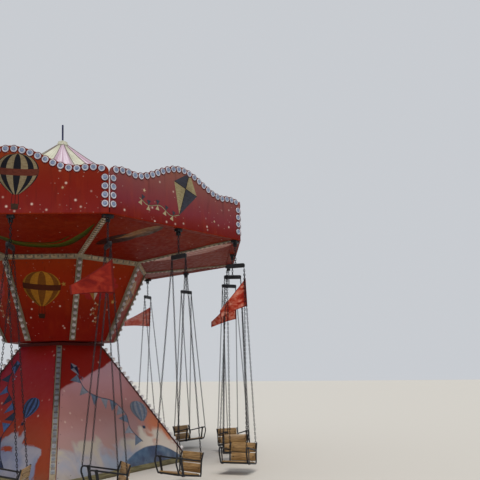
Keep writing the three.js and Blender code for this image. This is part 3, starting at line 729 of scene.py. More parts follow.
# The face of a many-sided cone between two rings, from the middle of its lower edge
def slopingFace(middle, step, lower, upper):
    way = polar(1, middle, 0)
    flat = math.cos(math.radians(step / 2))
    foot, head = (way * radius * flat + [0, 0, height] for radius, height in (lower, upper))
    return facePlace(foot, np.cross([0, 0, 1], way), head - foot)


def headFace(k, lower, upper):
    return slopingFace(cornerAngle(k + 0.5), ride["cornerStep"], lower, upper)


def boardFace(k):
    radius, height = ride["crownFoot"]
    return headFace(k, (radius, height), (radius, height + 1))


def drumFace(k):
    return headFace(k, ride["drumFoot"], ride["drumHead"])


def soffitFace(k):
    return headFace(k, ride["drumHead"], ride["soffitRim"])


def baseFace(k):
    return slopingFace(ride["baseStep"] * k, ride["baseStep"], ride["baseFoot"], ride["baseHead"])


# Points (across, up) of a face, lifted off it
def onFace(face, flat, lift=0.0):
    flat = np.asarray(flat, float)
    return face["origin"] + flat[..., :1] * face["right"] + flat[..., 1:2] * face["up"] + lift * face["out"]


# A face's ways right, up and out, once for each copy
def faceAxes(face, count):
    return np.broadcast_to(np.stack([face["right"], face["up"], face["out"]]), (count, 3, 3))


# Crown board: its height, and the rise, place and reach of the hills along its top
board = {
    "height": 0.642,
    "endRise": 0.024,
    "endPlace": 0.25,
    "endReach": 0.24,
    "rise": 0.275,
    "reach": 0.9,
}
# Lamps along the edge and down the ends of a crown board, each on a scallop of the board's red rim
boardLamp = {
    "edgeInset": 0.045,
    "cornerInset": 0.104,
    "alongTop": 24,
    "columnInset": 0.06,
    "columnFoot": 0.121,
    "columnStep": 0.1193,
    "downSides": 4,
    "lift": 0.002,
    "scallop": [(0, -0.008), (0.056, -0.008), (0.056, 0.001), (0.054, 0.002), (0, 0.002)],
    "scallopFacets": 18,
    "samples": 600,
    "cap": [(0, -0.002), (0.046, -0.002), (0.046, 0.006), (0.041, 0.012), (0.030, 0.010)],
    "lens": [(0.030, 0.010), (0.028, 0.007), (0.014, 0.010), (0, 0.011)],
    "facets": 12,
}


# A smooth hill of height one, falling as a squared cosine to nothing at its reach
def hill(distance, reach):
    return np.where(np.abs(distance) < reach, np.cos(np.pi * distance / (2 * reach)) ** 2, 0)


# At s along the board: its height, plus a low hill near each end and a high one in the middle
def boardTop(s):
    place, reach = board["endPlace"], board["endReach"]
    ends = hill(s - place, reach) + hill(boardSide - s - place, reach)
    return board["height"] + board["endRise"] * ends + board["rise"] * hill(s - boardSide / 2, board["reach"])


# Lamp centres (across, up): evenly along the line that follows the board's top, then down both ends
def boardLampCentres():
    s = np.linspace(boardLamp["cornerInset"], boardSide - boardLamp["cornerInset"], boardLamp["samples"])
    line = np.stack([s, boardTop(s) - boardLamp["edgeInset"]], axis=1)
    length = np.r_[0, np.cumsum(np.linalg.norm(np.diff(line, axis=0), axis=1))]
    at = np.linspace(0, length[-1], boardLamp["alongTop"])
    top = np.stack([np.interp(at, length, line[:, c]) for c in (0, 1)], axis=1)
    heights = boardLamp["columnFoot"] + boardLamp["columnStep"] * np.arange(boardLamp["downSides"])
    inset = boardLamp["columnInset"]
    columns = [(x, z) for x in (inset, boardSide - inset) for z in heights]
    return np.concatenate([top, columns]) - [boardSide / 2, 0]


# Caps, lenses and scallops are profiles turned about their own axis, copied to every lamp's centre
def makeBoardLamps():
    centres = boardLampCentres()
    cap = turned(boardLamp["cap"], boardLamp["facets"])
    lens = turned(boardLamp["lens"], boardLamp["facets"], finish=1)
    lamp = joined([cap, lens])
    scallop = turned(boardLamp["scallop"], boardLamp["scallopFacets"])
    for k in range(ride["sides"]):
        face = boardFace(k)
        axes = faceAxes(face, len(centres))
        rim = copies(scallop, onFace(face, centres), axes)
        makePiece(f"board_scallops_{k + 1}", rim, "edge", "head")
        lamps = copies(lamp, onFace(face, centres, boardLamp["lift"]), axes)
        makePiece(f"board_lamps_{k + 1}", lamps, "cap lens", "head")


makeBoardLamps()
print("board lamps ready")

# Lamps on the strips, by kind: a tile along and across the strip under a dome, and a bar between two tiles.
# Tiles lie a spacing apart and stay an inset from both ends
stripLamp = {
    "drum": {"spacing": 0.108, "inset": 0.06, "along": 0.060, "across": 0.058, "radius": 0.033, "rise": 0.030,
             "bar": 0.036, "looks": "tile dome gap"},
    "rib": {"spacing": 0.086, "inset": 0.06, "along": 0.042, "across": 0.066, "radius": 0.011, "rise": 0.010,
            "bar": 0.040, "looks": "creamTile dome darkGap"},
    "ring": {"spacing": 0.128, "inset": 0.10, "along": 0.096, "across": 0.050, "radius": 0.022, "rise": 0.018,
             "bar": 0.020, "looks": "creamTile creamTile gap"},
    "base": {"spacing": 0.108, "inset": 0.05, "along": 0.072, "across": 0.062, "radius": 0.025, "rise": 0.016,
             "bar": 0.026, "looks": "greyTile greyTile greyGap"},
    "bulb": {"spacing": 0.108, "inset": 0.05, "along": 0.072, "across": 0.062, "radius": 0.039, "rise": 0.050,
             "bar": 0.026, "looks": "greyTile bulb greyGap"},
    "tileHeight": 0.010,
    "tileCorner": 0.012,
    "tileEdge": 0.003,
    "domeAngles": [0, 35, 65, 90],
    "domeFacets": 8,
    "barShare": 0.98,
    "barHeight": 0.005,
    "barCorner": 0.004,
    "barEdge": 0.001,
    "sunk": 0.002,
    "stripProud": 0.018,
    "ribDrop": 0.016,
    "ringDrop": 0.037,
    "ringBack": 0.017,
    "baseProud": -0.020,
    "headShare": 0.05,
    "footShare": 0.08,
    "drumTilt": -0.4,
    "baseTilt": 0.7,
}


# As many lamps as fit, evenly spaced about the middle of a straight strip and standing out from it
def stripRow(start, end, out, spacing, inset):
    length = np.linalg.norm(end - start)
    count = int((length - 2 * inset) / spacing) + 1
    first = (length - (count - 1) * spacing) / 2
    along = unit(end - start)
    origins = start + along * (first + spacing * np.arange(count))[:, None]
    out = unit(out - np.dot(out, along) * along)
    return origins, np.broadcast_to(np.stack([along, np.cross(out, along), out]), (count, 3, 3))


# A tile with cut corners under a dome, an ellipse turned, and half a spacing on the bar before the next tile
def lampRows(name, rows, body, kind):
    size, top, sunk = stripLamp[kind], stripLamp["tileHeight"], stripLamp["sunk"]
    shape = top + sunk, stripLamp["tileCorner"], stripLamp["tileEdge"]
    tile = roundedBoard(size["along"], size["across"], *shape, perCorner=2)
    tile["points"][:, 2] -= sunk
    angle = np.radians(stripLamp["domeAngles"])
    profile = np.stack([size["radius"] * np.cos(angle), top + size["rise"] * np.sin(angle)], axis=1)
    dome = turned([(0, top - 0.001), *profile], stripLamp["domeFacets"], finish=1)
    shape = (stripLamp[key] for key in ("barHeight", "barCorner", "barEdge"))
    bar = roundedBoard(size["bar"], size["across"] * stripLamp["barShare"], *shape, perCorner=2)
    bar["points"] += [size["spacing"] / 2, 0, -sunk]
    bar["finish"][:] = 2
    lines = [stripRow(*row, size["spacing"], size["inset"]) for row in rows]
    origins, axes = (np.concatenate(part) for part in zip(*lines))
    makePiece(name, copies(joined([tile, dome, bar]), origins, axes), size["looks"], body)


# Rows of (start, end, way out): up the drum's corners, out along the soffit's ribs, round the drum's head,
# and up the base's corners
def makeStripLamps():
    proud, ribDrop, ringDrop = (stripLamp[key] for key in ("stripProud", "ribDrop", "ringDrop"))
    drumRows, ringRows, ribRows, baseRows = [], [], [], []
    for k in range(ride["sides"]):
        angle, after = cornerAngle(k), cornerAngle(k + 1)
        low, high = (ringPoint(ring, angle, proud) for ring in ("drumFoot", "drumHead"))
        high = high - (high - low) * stripLamp["headShare"]
        drumRows.append((low, high, polar(1, angle, stripLamp["drumTilt"])))
        inner = ringPoint("drumHead", angle, 0, ribDrop)
        outer = ringPoint("soffitRim", angle, -proud, ribDrop)
        ribRows.append((inner, outer, np.array([0, 0, -1.0])))
        out = drumFace(k)["out"]
        back = out * stripLamp["ringBack"]
        start, end = (ringPoint("drumHead", turn, proud, ringDrop) - back for turn in (angle, after))
        ringRows.append((start, end, out))
    for k in range(ride["baseSides"]):
        angle = baseAngle(k)
        low, high = (ringPoint(ring, angle, stripLamp["baseProud"]) for ring in ("baseFoot", "baseHead"))
        low = low + (high - low) * stripLamp["footShare"]
        high = high - (high - low) * stripLamp["headShare"]
        baseRows.append((low, high, polar(1, angle, stripLamp["baseTilt"])))
    lampRows("drum_strip_lamps", drumRows, "head", "drum")
    lampRows("soffit_rib_lamps", ribRows, "head", "rib")
    lampRows("drum_ring_lamps", ringRows, "head", "ring")
    # Painted light: the front corner keeps grey domes, while the other three get the brightened bulbs
    lampRows("base_strip_lamps", baseRows[:1], "base", "base")
    lampRows("base_strip_bulbs", baseRows[1:], "base", "bulb")


makeStripLamps()
print("strip lamps ready")


# A painted motif is made of flat patches, grids of (across, up) points on a layer, each point with its paint
def patch(flat, shades, layer, wrapColumns=False):
    rows, columns = flat.shape[:2]
    points = np.concatenate([flat, np.full((rows, columns, 1), float(layer))], axis=2)
    faces = gridFaces(rows, columns, wrapColumns=wrapColumns)
    corner = flat.reshape(-1, 2)[faces]
    first, second = corner[:, 2] - corner[:, 0], corner[:, 3] - corner[:, 1]
    if (first[:, 0] * second[:, 1] - first[:, 1] * second[:, 0]).sum() < 0:
        faces = faces[:, ::-1]
    paint = np.broadcast_to(np.asarray(shades, float), (rows, columns, 3)).reshape(-1, 3)
    return form(points, faces, colour=paint)


def paints(codes):
    return [np.array(colour(code)) for code in codes]


# Forms sized and turned about their own centre, then put at a centre on the face
def moved(forms, centre, turn, size):
    c, s = math.cos(math.radians(turn)), math.sin(math.radians(turn))
    for f in forms:
        flat = size * f["points"][:, :2] @ np.array([(c, s), (-s, c)])
        f["points"] = np.column_stack([flat + centre, f["points"][:, 2]])
    return forms


# Half width of a balloon at a share v of its height: a quarter sine up to the widest place, then a quarter
# ellipse
def balloonGirth(v):
    low = 0.14 + 0.86 * np.sin(np.pi / 2 * np.clip(v / 0.6, 0, 1)) ** 0.9
    return np.where(v < 0.6, low, np.sqrt(np.clip(1 - ((v - 0.6) / 0.4) ** 2, 0, 1)))


# Across is the girth times the sine of the angle round the balloon; a band dips toward its middle
def balloonSkin(v, angle, width, dip=0.0):
    return np.stack([width * balloonGirth(v) * np.sin(angle), 0.28 + 0.72 * v - dip * np.cos(angle)], axis=2)


# A striped balloon one unit high, with a basket on three ropes. Paint is lightest half a radian to the right
def balloon(codes, gores=9, layer=1, band=None):
    shades = paints(codes)
    v = np.linspace(0, 1, 22)[:, None]
    forms = []
    for g in range(gores):
        angle = np.radians(np.linspace(-90 + 180 * g / gores, -90 + 180 * (g + 1) / gores, 4))[None, :]
        light = (0.62 + 0.3 * np.cos(angle - 0.5) + 0.12 * v)[..., None]
        forms.append(patch(balloonSkin(v, angle, 0.37), shades[g % 2] * light, layer))
    if band:
        v = np.linspace(0.5, 0.66, 5)[:, None]
        angle = np.radians(np.linspace(-88, 88, 28))[None, :]
        light = (0.7 + 0.3 * np.cos(angle - 0.5) + 0 * v)[..., None]
        forms.append(patch(balloonSkin(v, angle, 0.372, 0.03), np.array(colour(band)) * light, layer + 1))
    basket, rope = shades[2], shades[3]
    x, y = np.meshgrid(np.linspace(-1, 1, 6), np.linspace(0, 1, 4))
    flat = np.stack([x * (0.055 + 0.012 * y), 0.02 + 0.1 * y], axis=2)
    forms.append(patch(flat, basket * (0.8 + 0.3 * y)[..., None], layer))
    for side in (-1, 0.02, 1):
        line = np.array([(0.062 * side, 0.11), (0.05 * side, 0.29)])
        forms.append(stroke(line, 0.008, [rope, rope], layer, even=True))
    return forms


# A brush stroke along a smooth line: its width rises and falls as the sine of its length, and two paints run
# across it
def stroke(controls, width, shades, layer, even=False):
    line = smoothPath(controls, 10)
    way = unit(np.gradient(line, axis=0))
    square = np.stack([-way[:, 1], way[:, 0]], axis=1)
    share = np.linspace(0, 1, len(line))
    breadth = width * (np.ones(len(line)) if even else np.sin(np.pi * np.clip(share, 0.002, 0.998)) ** 0.7)
    across = np.linspace(-0.5, 0.5, 4)
    flat = line[:, None] + across[None, :, None] * (breadth[:, None] * square)[:, None]
    blend = (across + 0.5)[None, :, None]
    return patch(flat, (1 - blend) * shades[0] + blend * shades[1] + 0 * flat[..., :1], layer)


# A kite one unit high: four cloth quarters, two dark spars, and bows along a tail that follows its own line
def kite(codes, tail, layer=1, side=1):
    shades = paints(codes)
    top, foot, left, right, cross = np.array([(0, 0.5), (0, -0.5), (-0.34, 0.12), (0.34, 0.12), (0, 0.12)])
    forms = []
    t = np.linspace(0, 1, 5)[:, None, None]
    for shade, (a, b) in zip((0, 1, 1, 0), ((top, left), (top, right), (foot, left), (foot, right))):
        edge = a + (b - a) * np.linspace(0, 1, 5)[None, :, None]
        forms.append(patch(cross + (edge - cross) * t, shades[shade] * (0.75 + 0.3 * t), layer))
    forms.append(stroke([top, foot], 0.014, [shades[2]] * 2, layer + 1, even=True))
    forms.append(stroke([left, right], 0.014, [shades[2]] * 2, layer + 1, even=True))
    controls = np.array([foot, *tail]) * [side, 1]
    forms.append(stroke(controls, 0.022, [shades[2], shades[3]], layer, even=True))
    line = smoothPath(controls, 4)[3::3]
    way = unit(np.gradient(line, axis=0))
    for k, (knot, along) in enumerate(zip(line, way)):
        out = np.array([-along[1], along[0]])
        for hand in (-1, 1):
            tip = knot + 0.1 * hand * out
            wing = np.array([[knot, knot], [tip + 0.05 * along, tip - 0.05 * along]])
            forms.append(patch(wing, shades[3] if (hand + k % 2) > 0 else shades[0], layer + 1))
    return forms


# Bunting: a cord along a smooth line and, at even steps, flags that narrow to a tip square to the cord
def bunting(controls, codes, count, size):
    shades = paints(codes)
    line = smoothPath(controls, 14)
    run = np.r_[0, np.cumsum(np.linalg.norm(np.diff(line, axis=0), axis=1))]
    forms = [stroke(controls, 0.016, [shades[2]] * 2, 2, even=True)]
    t = np.linspace(0, 1, 5)[:, None, None]
    for k, start in enumerate(np.linspace(0.02, run[-1] - size - 0.02, count)):
        at = start + size * np.linspace(0, 1, 5)
        top = np.stack([np.interp(at, run, line[:, c]) for c in (0, 1)], axis=1)[None]
        way = unit(top[0, -1] - top[0, 0])
        tip = top.mean(axis=1) + 1.25 * size * np.array([way[1], -way[0]])
        shade = shades[k % 2] * (1.1 - 0.35 * t)
        forms.append(patch(top + (tip[:, None] - top) * t, shade, 1))
    return forms


# A cloud: the radius is scalloped by the cosine of its angle, squashed, lit from above
def cloud(code, shadow, lobes):
    light, dark = paints((code, shadow))
    radius = np.linspace(0, 1, 7)[:, None]
    angle = np.linspace(0, 2 * np.pi, 56, endpoint=False)[None, :]
    reach = 0.4 + 0.1 * np.abs(np.cos(lobes * angle)) + 0.02 * np.sin(3 * angle)
    flat = radius[..., None] * np.stack([reach * np.cos(angle), 0.55 * reach * np.sin(angle)], axis=2)
    lit = np.clip(0.5 + 1.8 * flat[..., 1:], 0, 1)
    return [patch(flat, lit * light + (1 - lit) * dark, 1, wrapColumns=True)]


# A star: the radius goes from the tips' half unit to the waist between them and back
def star(code, points=5):
    angle = np.linspace(0, 2 * np.pi, 2 * points, endpoint=False)[None, :] + np.pi / 2
    reach = np.where(np.arange(2 * points) % 2 == 0, 0.5, 0.21)[None, :]
    radius = np.linspace(0, 1, 3)[:, None]
    flat = radius[..., None] * np.stack([reach * np.cos(angle), reach * np.sin(angle)], axis=2)
    shade = np.array(colour(code)) * (1.1 - 0.3 * radius[..., None]) + 0 * flat[..., :1]
    return [patch(flat, shade, 1, wrapColumns=True)]


# Paints of the motifs, and how far their layers stand off the face
picture = {
    "firstLayer": 0.0008,
    "layerStep": 0.0005,
    "dark": ("15161e", "80745a", "3c2c22", "1c161a"),
    "pale": ("383a44", "948a68", "241c1c", "a89c7c"),
    "gold": ("a8701c", "74440e", "341a0c", "1e0c08"),
    "rose": ("b4a090", "98642e", "30140e", "a8744c"),
    "navy": ("232d48", "445e91", "1a2238", "8a94b0"),
    "slate": ("6c7c92", "8e94a0", "3c4860", "a0a8ba"),
    "green": ("1a2408", "4a5418"),
    "brown": ("2c0e06", "895e33"),
    "paintedReflection": ("a86a60", "c49a90"),
    "red": ("7a2014", "94382a"),
    "dusk": ("1a2440", "8c8c9c", "10142a", "8a90a8"),
    "cloud": ("a42420", "8c1816"),
    "boardBand": "5c2c20",
    "drumBand": "4c1e08",
    "boardStars": ("b89878", "c0a488"),
    "drumStars": ("a87c38", "b88c4c"),
}


# A picture's flat forms laid on a face, each layer a step farther off it
def paintFace(name, face, forms, body):
    shape = joined(forms)
    lift = picture["firstLayer"] + picture["layerStep"] * shape["points"][:, 2:]
    shape["points"] = onFace(face, shape["points"][:, :2], lift)
    return makePiece(name, shape, "picture", body)


# Balloons and kites by turns, with two stars; they lean the other way on every second pair of boards
def boardPicture(k):
    side = 1 if k % 4 < 2 else -1
    light = picture["boardStars"][(k + 1) % 2]
    if k % 2:
        ball = balloon(picture["dark"], band=picture["boardBand"])
        forms = moved(ball, (-0.07 * side, 0.03), 3 * side, 0.78)
        forms += moved(star(light), (0.52 * side, 0.5), 10, 0.07)
        forms += moved(star(light, points=6), (-0.7 * side, 0.34), 10, 0.05)
    else:
        tail = [(-0.22, -0.62), (-0.52, -0.56), (-0.8, -0.7), (-1.05, -0.66)]
        forms = moved(kite(picture["pale"], tail, side=side), (0.06 * side, 0.52), -18 * side, 0.72)
        forms += moved(star(light), (-0.72 * side, 0.42), -12, 0.07)
        forms += moved(star(light, points=6), (0.7 * side, 0.2), 0, 0.05)
    paintFace(f"board_picture_{k + 1}", boardFace(k), forms, "head")


# Balloons, and kites before a cloud, by turns, each with a star
def drumPicture(k):
    light = picture["drumStars"][(k + 1) % 2]
    if k % 2:
        ball = balloon(picture["gold"], gores=7, band=picture["drumBand"])
        forms = moved(ball, (-0.1, 0.38), -5, 0.82)
        forms += moved(star(light), (0.3, 0.98), 8, 0.09)
    else:
        forms = moved(cloud(*picture["cloud"], lobes=4.5), (-0.1, 0.95), 8, 0.8)
        tail = [(0.14, -0.72), (-0.1, -0.98), (0.14, -1.24), (0.0, -1.46)]
        forms += moved(kite(picture["rose"], tail, layer=2), (-0.18, 0.92), 14, 0.42)
        forms += moved(star(light, points=6), (0.26, 0.72), 0, 0.09)
    paintFace(f"drum_picture_{k + 1}", drumFace(k), forms, "head")


# Plain brush strokes on a soffit field: green, painted reflection or brown by its place round the head
def soffitPicture(k):
    if k % 4 == 3:
        green = paints(picture["green"])
        line = [(-0.8, 1.3), (-0.42, 0.8), (-0.15, 0.45), (0.38, 0.42), (0.77, 0.82), (1.05, 1.3)]
        forms = [stroke(line, 0.15, green, 1)]
        forms.append(stroke([(-0.5, 0.78), (-0.12, 0.56), (0.3, 0.54), (0.62, 0.84)], 0.05, green[::-1], 2))
    elif k % 4 == 1:
        # Painted reflection: the wide pale band beside the rib stands for gloss catching the light, with red
        # strokes over it
        paintedReflection, red = paints(picture["paintedReflection"]), paints(picture["red"])
        forms = [stroke([(-0.48, 0.25), (-0.62, 0.7), (-0.78, 1.15), (-0.96, 1.66)], 0.52, paintedReflection, 1)]
        for x in (-0.38, -0.5, -0.62):
            forms.append(stroke([(x, 0.6), (1.2 * x, 0.95), (1.5 * x, 1.48)], 0.05, red, 2))
    else:
        dark, tan = paints(picture["brown"])
        forms = [stroke([(-0.66, 0.5), (-0.56, 0.74), (-0.44, 1.0), (-0.38, 1.2)], 0.34, [dark, dark], 1)]
        forms.append(stroke([(-0.5, 0.92), (-0.38, 1.14), (-0.31, 1.4), (-0.27, 1.66)], 0.3, [dark, tan], 2))
        forms.append(stroke([(-0.56, 0.84), (-0.42, 1.1), (-0.34, 1.36)], 0.06, [tan, tan], 3))
    paintFace(f"soffit_picture_{k + 1}", soffitFace(k), forms, "head")


# Bunting down the panel, with a kite at its head and a balloon beside its foot
def basePicture(side, k):
    tail = [(0.1, -0.7), (-0.1, -0.9)]
    if k % 2:
        line = [(-0.42, 1.9), (-0.34, 1.6), (-0.06, 1.36), (0.16, 1.06), (0.06, 0.76), (0.2, 0.46),
                (0.42, 0.24)]
        forms = bunting(line, picture["navy"], 9, 0.17)
        forms += moved(kite(picture["navy"], tail), (-0.36, 2.0), 20, 0.3)
        forms += moved(balloon(picture["navy"]), (0.42, 0.94), -6, 0.5)
    else:
        line = [(-0.36, 1.86), (-0.3, 1.56), (-0.06, 1.4), (0.24, 1.3), (0.42, 1.04), (0.4, 0.76),
                (0.58, 0.5)]
        forms = bunting(line, picture["slate"], 9, 0.17)
        forms += moved(kite(picture["dusk"], tail), (-0.36, 1.94), 20, 0.27)
        forms += moved(balloon(picture["slate"], layer=2), (0.74, 0.72), -8, 0.56)
    paintFace(f"base_picture_{side}", baseFace(k), forms, "base")


for k in range(ride["sides"]):
    boardPicture(k)
    drumPicture(k)
    soffitPicture(k)
for k, side in enumerate(("right", "back", "left", "front")):
    basePicture(side, k)
print("pictures ready")

# Red beads on both sides of the base's lamp strips, over the covered share of their length
bead = {
    "beside": 0.049,
    "depth": 0.030,
    "width": 0.010,
    "height": 0.016,
    "cut": 0.002,
    "cover": (0.045, 0.965),
    "steps": 12,
}


# A flat section carried up each corner of the base, once to each side of the strip
def makeBeads():
    section = flatSection(bead["width"], bead["height"], bead["cut"])
    share = np.linspace(*bead["cover"], bead["steps"])[:, None]
    forms = []
    for k in range(ride["baseSides"]):
        angle = baseAngle(k)
        side = sideways(angle)
        low, high = (ringPoint(ring, angle, -bead["depth"]) for ring in ("baseFoot", "baseHead"))
        for way in (-1, 1):
            forms.append(carried(low + (high - low) * share + way * bead["beside"] * side, section, side))
    makePiece("base_strip_beads", joined(forms), "edge", "base")


makeBeads()

# White strips that close the slits between the crown boards
slit = {
    "radius": 3.4452,
    "low": 3.86,
    "high": 4.30,
    "width": 0.015,
    "thickness": 0.003,
    "cut": 0.0008,
}


# A flat section carried straight up at each of the head's corners
def makeSlitStrips():
    section = flatSection(slit["width"], slit["thickness"], slit["cut"])
    forms = []
    for k in range(ride["sides"]):
        angle = cornerAngle(k)
        ends = [polar(slit["radius"], angle, slit[end]) for end in ("low", "high")]
        forms.append(carried(np.linspace(*ends, 4), section, sideways(angle)))
    makePiece("crown_corner_strips", joined(forms), "white", "head")


makeSlitStrips()

# Boards that close the soffit to the crown, and a lip outside them: rings of (inner, outer, low, high)
underTrim = {
    "board": (3.299, 3.428, 3.7795, 3.7875),
    "lip": (3.429, 3.4505, 3.774, 3.7895),
}


# A ring with the head's eight sides, turned to its corners
def ringOfSides(inner, outer, low, high):
    profile = [(inner, low), (outer, low), (outer, high), (inner, high), (inner, low)]
    ring = turned(profile, ride["sides"])
    turn = ride["firstCorner"]
    ring["points"] = ring["points"] @ np.array([polar(1, turn, 0), sideways(turn), (0, 0, 1)])
    return ring


def makeUnderTrim():
    rings = [ringOfSides(*size) for size in underTrim.values()]
    makePiece("crown_foot_trim", joined(rings), "soffit", "head")


makeUnderTrim()

# Bolts under the hook blocks
bolt = {
    "profile": [(0, -0.001), (0.011, -0.001), (0.011, 0.0064), (0.0088, 0.008), (0, 0.008)],
    "facets": 6,
    "blockBottom": 3.735,
    "spread": 0.030,
}
# Screws along the edges of the panels; their lines stay clear of a face's edges at its foot and head, from
# below and from above
screw = {
    "profile": [(0, -0.0008), (0.007, -0.0008), (0.0056, 0.0018), (0, 0.0026)],
    "facets": 6,
    "step": 0.24,
    "inset": 0.049,
    "baseClear": (0.14, 0.06, 0.13, 0.08),
    "drumClear": (0.05, 0.06, 0.02, 0.1),
}


# Two bolts under each hook block, head down, a spread to each side of its middle
def makeBolts():
    head = turned(bolt["profile"], bolt["facets"])
    spots, axes = [], []
    for n in range(2 * ride["sides"]):
        origin, (out, side, up) = swingPlace(n)
        for way in (-1, 1):
            spots.append(origin + way * bolt["spread"] * side + [0, 0, bolt["blockBottom"]])
            axes.append([out, -side, -up])
    makePiece("hook_bolts", copies(head, spots, axes), "chain", "head")


# Corners (across, up) of a cone's face: half its width is the ring's radius times the sine of half the step
def panelCorners(lower, upper, step, clear):
    half = math.radians(step / 2)
    foot, head = (ring[0] * math.sin(half) - gap for ring, gap in zip((lower, upper), clear))
    length = math.hypot((lower[0] - upper[0]) * math.cos(half), upper[1] - lower[1])
    low, high = clear[2], length - clear[3]
    return np.array([(-foot, low), (foot, low), (head, high), (-head, high)])


# Screws a step apart along each side of a face given by its four corners
def screwRows(face, corners):
    head = turned(screw["profile"], screw["facets"])
    corners = corners + unit(corners.mean(axis=0) - corners) * screw["inset"]
    flats = []
    for a, b in zip(corners, np.roll(corners, -1, axis=0)):
        count = max(2, round(np.linalg.norm(b - a) / screw["step"]))
        flats.append(a + (b - a) * (np.arange(count) / count)[:, None])
    flat = np.concatenate(flats)
    return copies(head, onFace(face, flat), faceAxes(face, len(flat)))


def makeScrews():
    corners = panelCorners(ride["baseFoot"], ride["baseHead"], ride["baseStep"], screw["baseClear"])
    rows = [screwRows(baseFace(k), corners) for k in range(ride["baseSides"])]
    makePiece("base_screws", joined(rows), "steel", "base")
    corners = panelCorners(ride["drumFoot"], ride["drumHead"], ride["cornerStep"], screw["drumClear"])
    rows = [screwRows(drumFace(k), corners) for k in range(ride["sides"])]
    makePiece("drum_screws", joined(rows), "steel", "head")


# Tent roof: a share t of the way from its hole at the top down to its rim
tent = {
    "holeRadius": 0.05,
    "rimRadius": 3.40,
    "rimHeight": 4.3023,
    "top": 5.895,
    "power": 1.65,
    "gores": 16,
    "perGore": 14,
    "rows": 48,
    "ribSag": 0.016,
    "goreSag": 0.026,
    "wrinkle": 0.008,
    "cordRadius": 0.006,
    "cordLift": 0.002,
    "thickness": 0.002,
    "cap": [(0.116, 5.838), (0.104, 5.866), (0.092, 5.895), (0.07, 5.921), (0.04, 5.936), (0.0165, 5.95),
            (0.0165, 5.918), (0.084, 5.917), (0.09, 5.88), (0.11, 5.838), (0.116, 5.838)],
}


# The height falls from the top as a power of the way that is left to the rim
def tentHeight(t):
    return tent["rimHeight"] + (tent["top"] - tent["rimHeight"]) * (1 - t) ** tent["power"]


# A share w of the way from rib k to the next: on the straight between them, lowered by sines of w and of t
def tentPoint(t, k, w):
    radius = tent["holeRadius"] + (tent["rimRadius"] - tent["holeRadius"]) * t
    start = np.radians(cornerAngle(k))
    end = start + np.radians(ride["cornerStep"])
    x = radius * ((1 - w) * np.cos(start) + w * np.cos(end))
    y = radius * ((1 - w) * np.sin(start) + w * np.sin(end))
    z = tentHeight(t) - tent["ribSag"] * np.sin(np.pi * w) * np.sin(np.pi * np.clip(t, 0, 1)) ** 0.6
    return np.stack(np.broadcast_arrays(x, y, z), axis=-1)


# Two gores to a side of the head. Each sags as a sine between its seams and is wrinkled by waves that run
# down it, one sine bent by another and a finer one across them
def tentClothPoints():
    t = np.linspace(0, 1, tent["rows"])[:, None, None]
    gore = np.arange(tent["gores"])[None, :, None]
    u = np.linspace(0, 1, tent["perGore"], endpoint=False)[None, None, :]
    points = tentPoint(t, gore // 2, (gore % 2 + u) / 2)
    middle = np.sin(np.pi * u) * np.sin(np.pi * np.clip(t, 0.02, 0.98)) ** 0.5
    waves = np.sin(2 * np.pi * (2.5 * u + 1.3 * gore) + 2.2 * np.sin(5 * t + gore))
    waves = waves + 0.6 * np.sin(2 * np.pi * (4 * u - 1.7 * t + 0.37 * gore))
    points[..., 2] -= middle * (tent["goreSag"] * (1 - 0.5 * t) + tent["wrinkle"] * (1 + waves))
    own = np.stack(np.broadcast_arrays(u + gore, t, gore % 2 + 0.0 * u * t), axis=-1)
    return points.reshape(tent["rows"], -1, 3), own.reshape(-1, 3)


# The cloth, a cord along each seam and a cap turned from its profile
def makeTent():
    gores, per = tent["gores"], tent["perGore"]
    points, own = tentClothPoints()
    faces = gridFaces(*points.shape[:2], wrapColumns=True)[:, ::-1]
    cloth = makePiece("tent_cloth", form(points, faces, place=own), "tent", "head",
                      ["tent_roof"], weld=False, sharp=180)
    thicken(cloth, tent["thickness"], -1)
    section = roundSection(tent["cordRadius"], 8)
    t = np.linspace(0, 1, 30)
    cords = []
    for seam in range(gores):
        line = tentPoint(t, seam // 2, seam % 2 / 2) + [0, 0, tent["cordLift"]]
        cords.append(carried(line, section, sideways(cornerAngle(seam / 2))))
    makePiece("tent_seam_cords", joined(cords), "seam", "head")
    cap = turned(tent["cap"], 24)
    cap["place"] = cap["points"] * [3, 3, 0]
    makePiece("tent_cap_cloth", cap, "tent", "head", sharp=60)


makeTent()
print("tent ready")

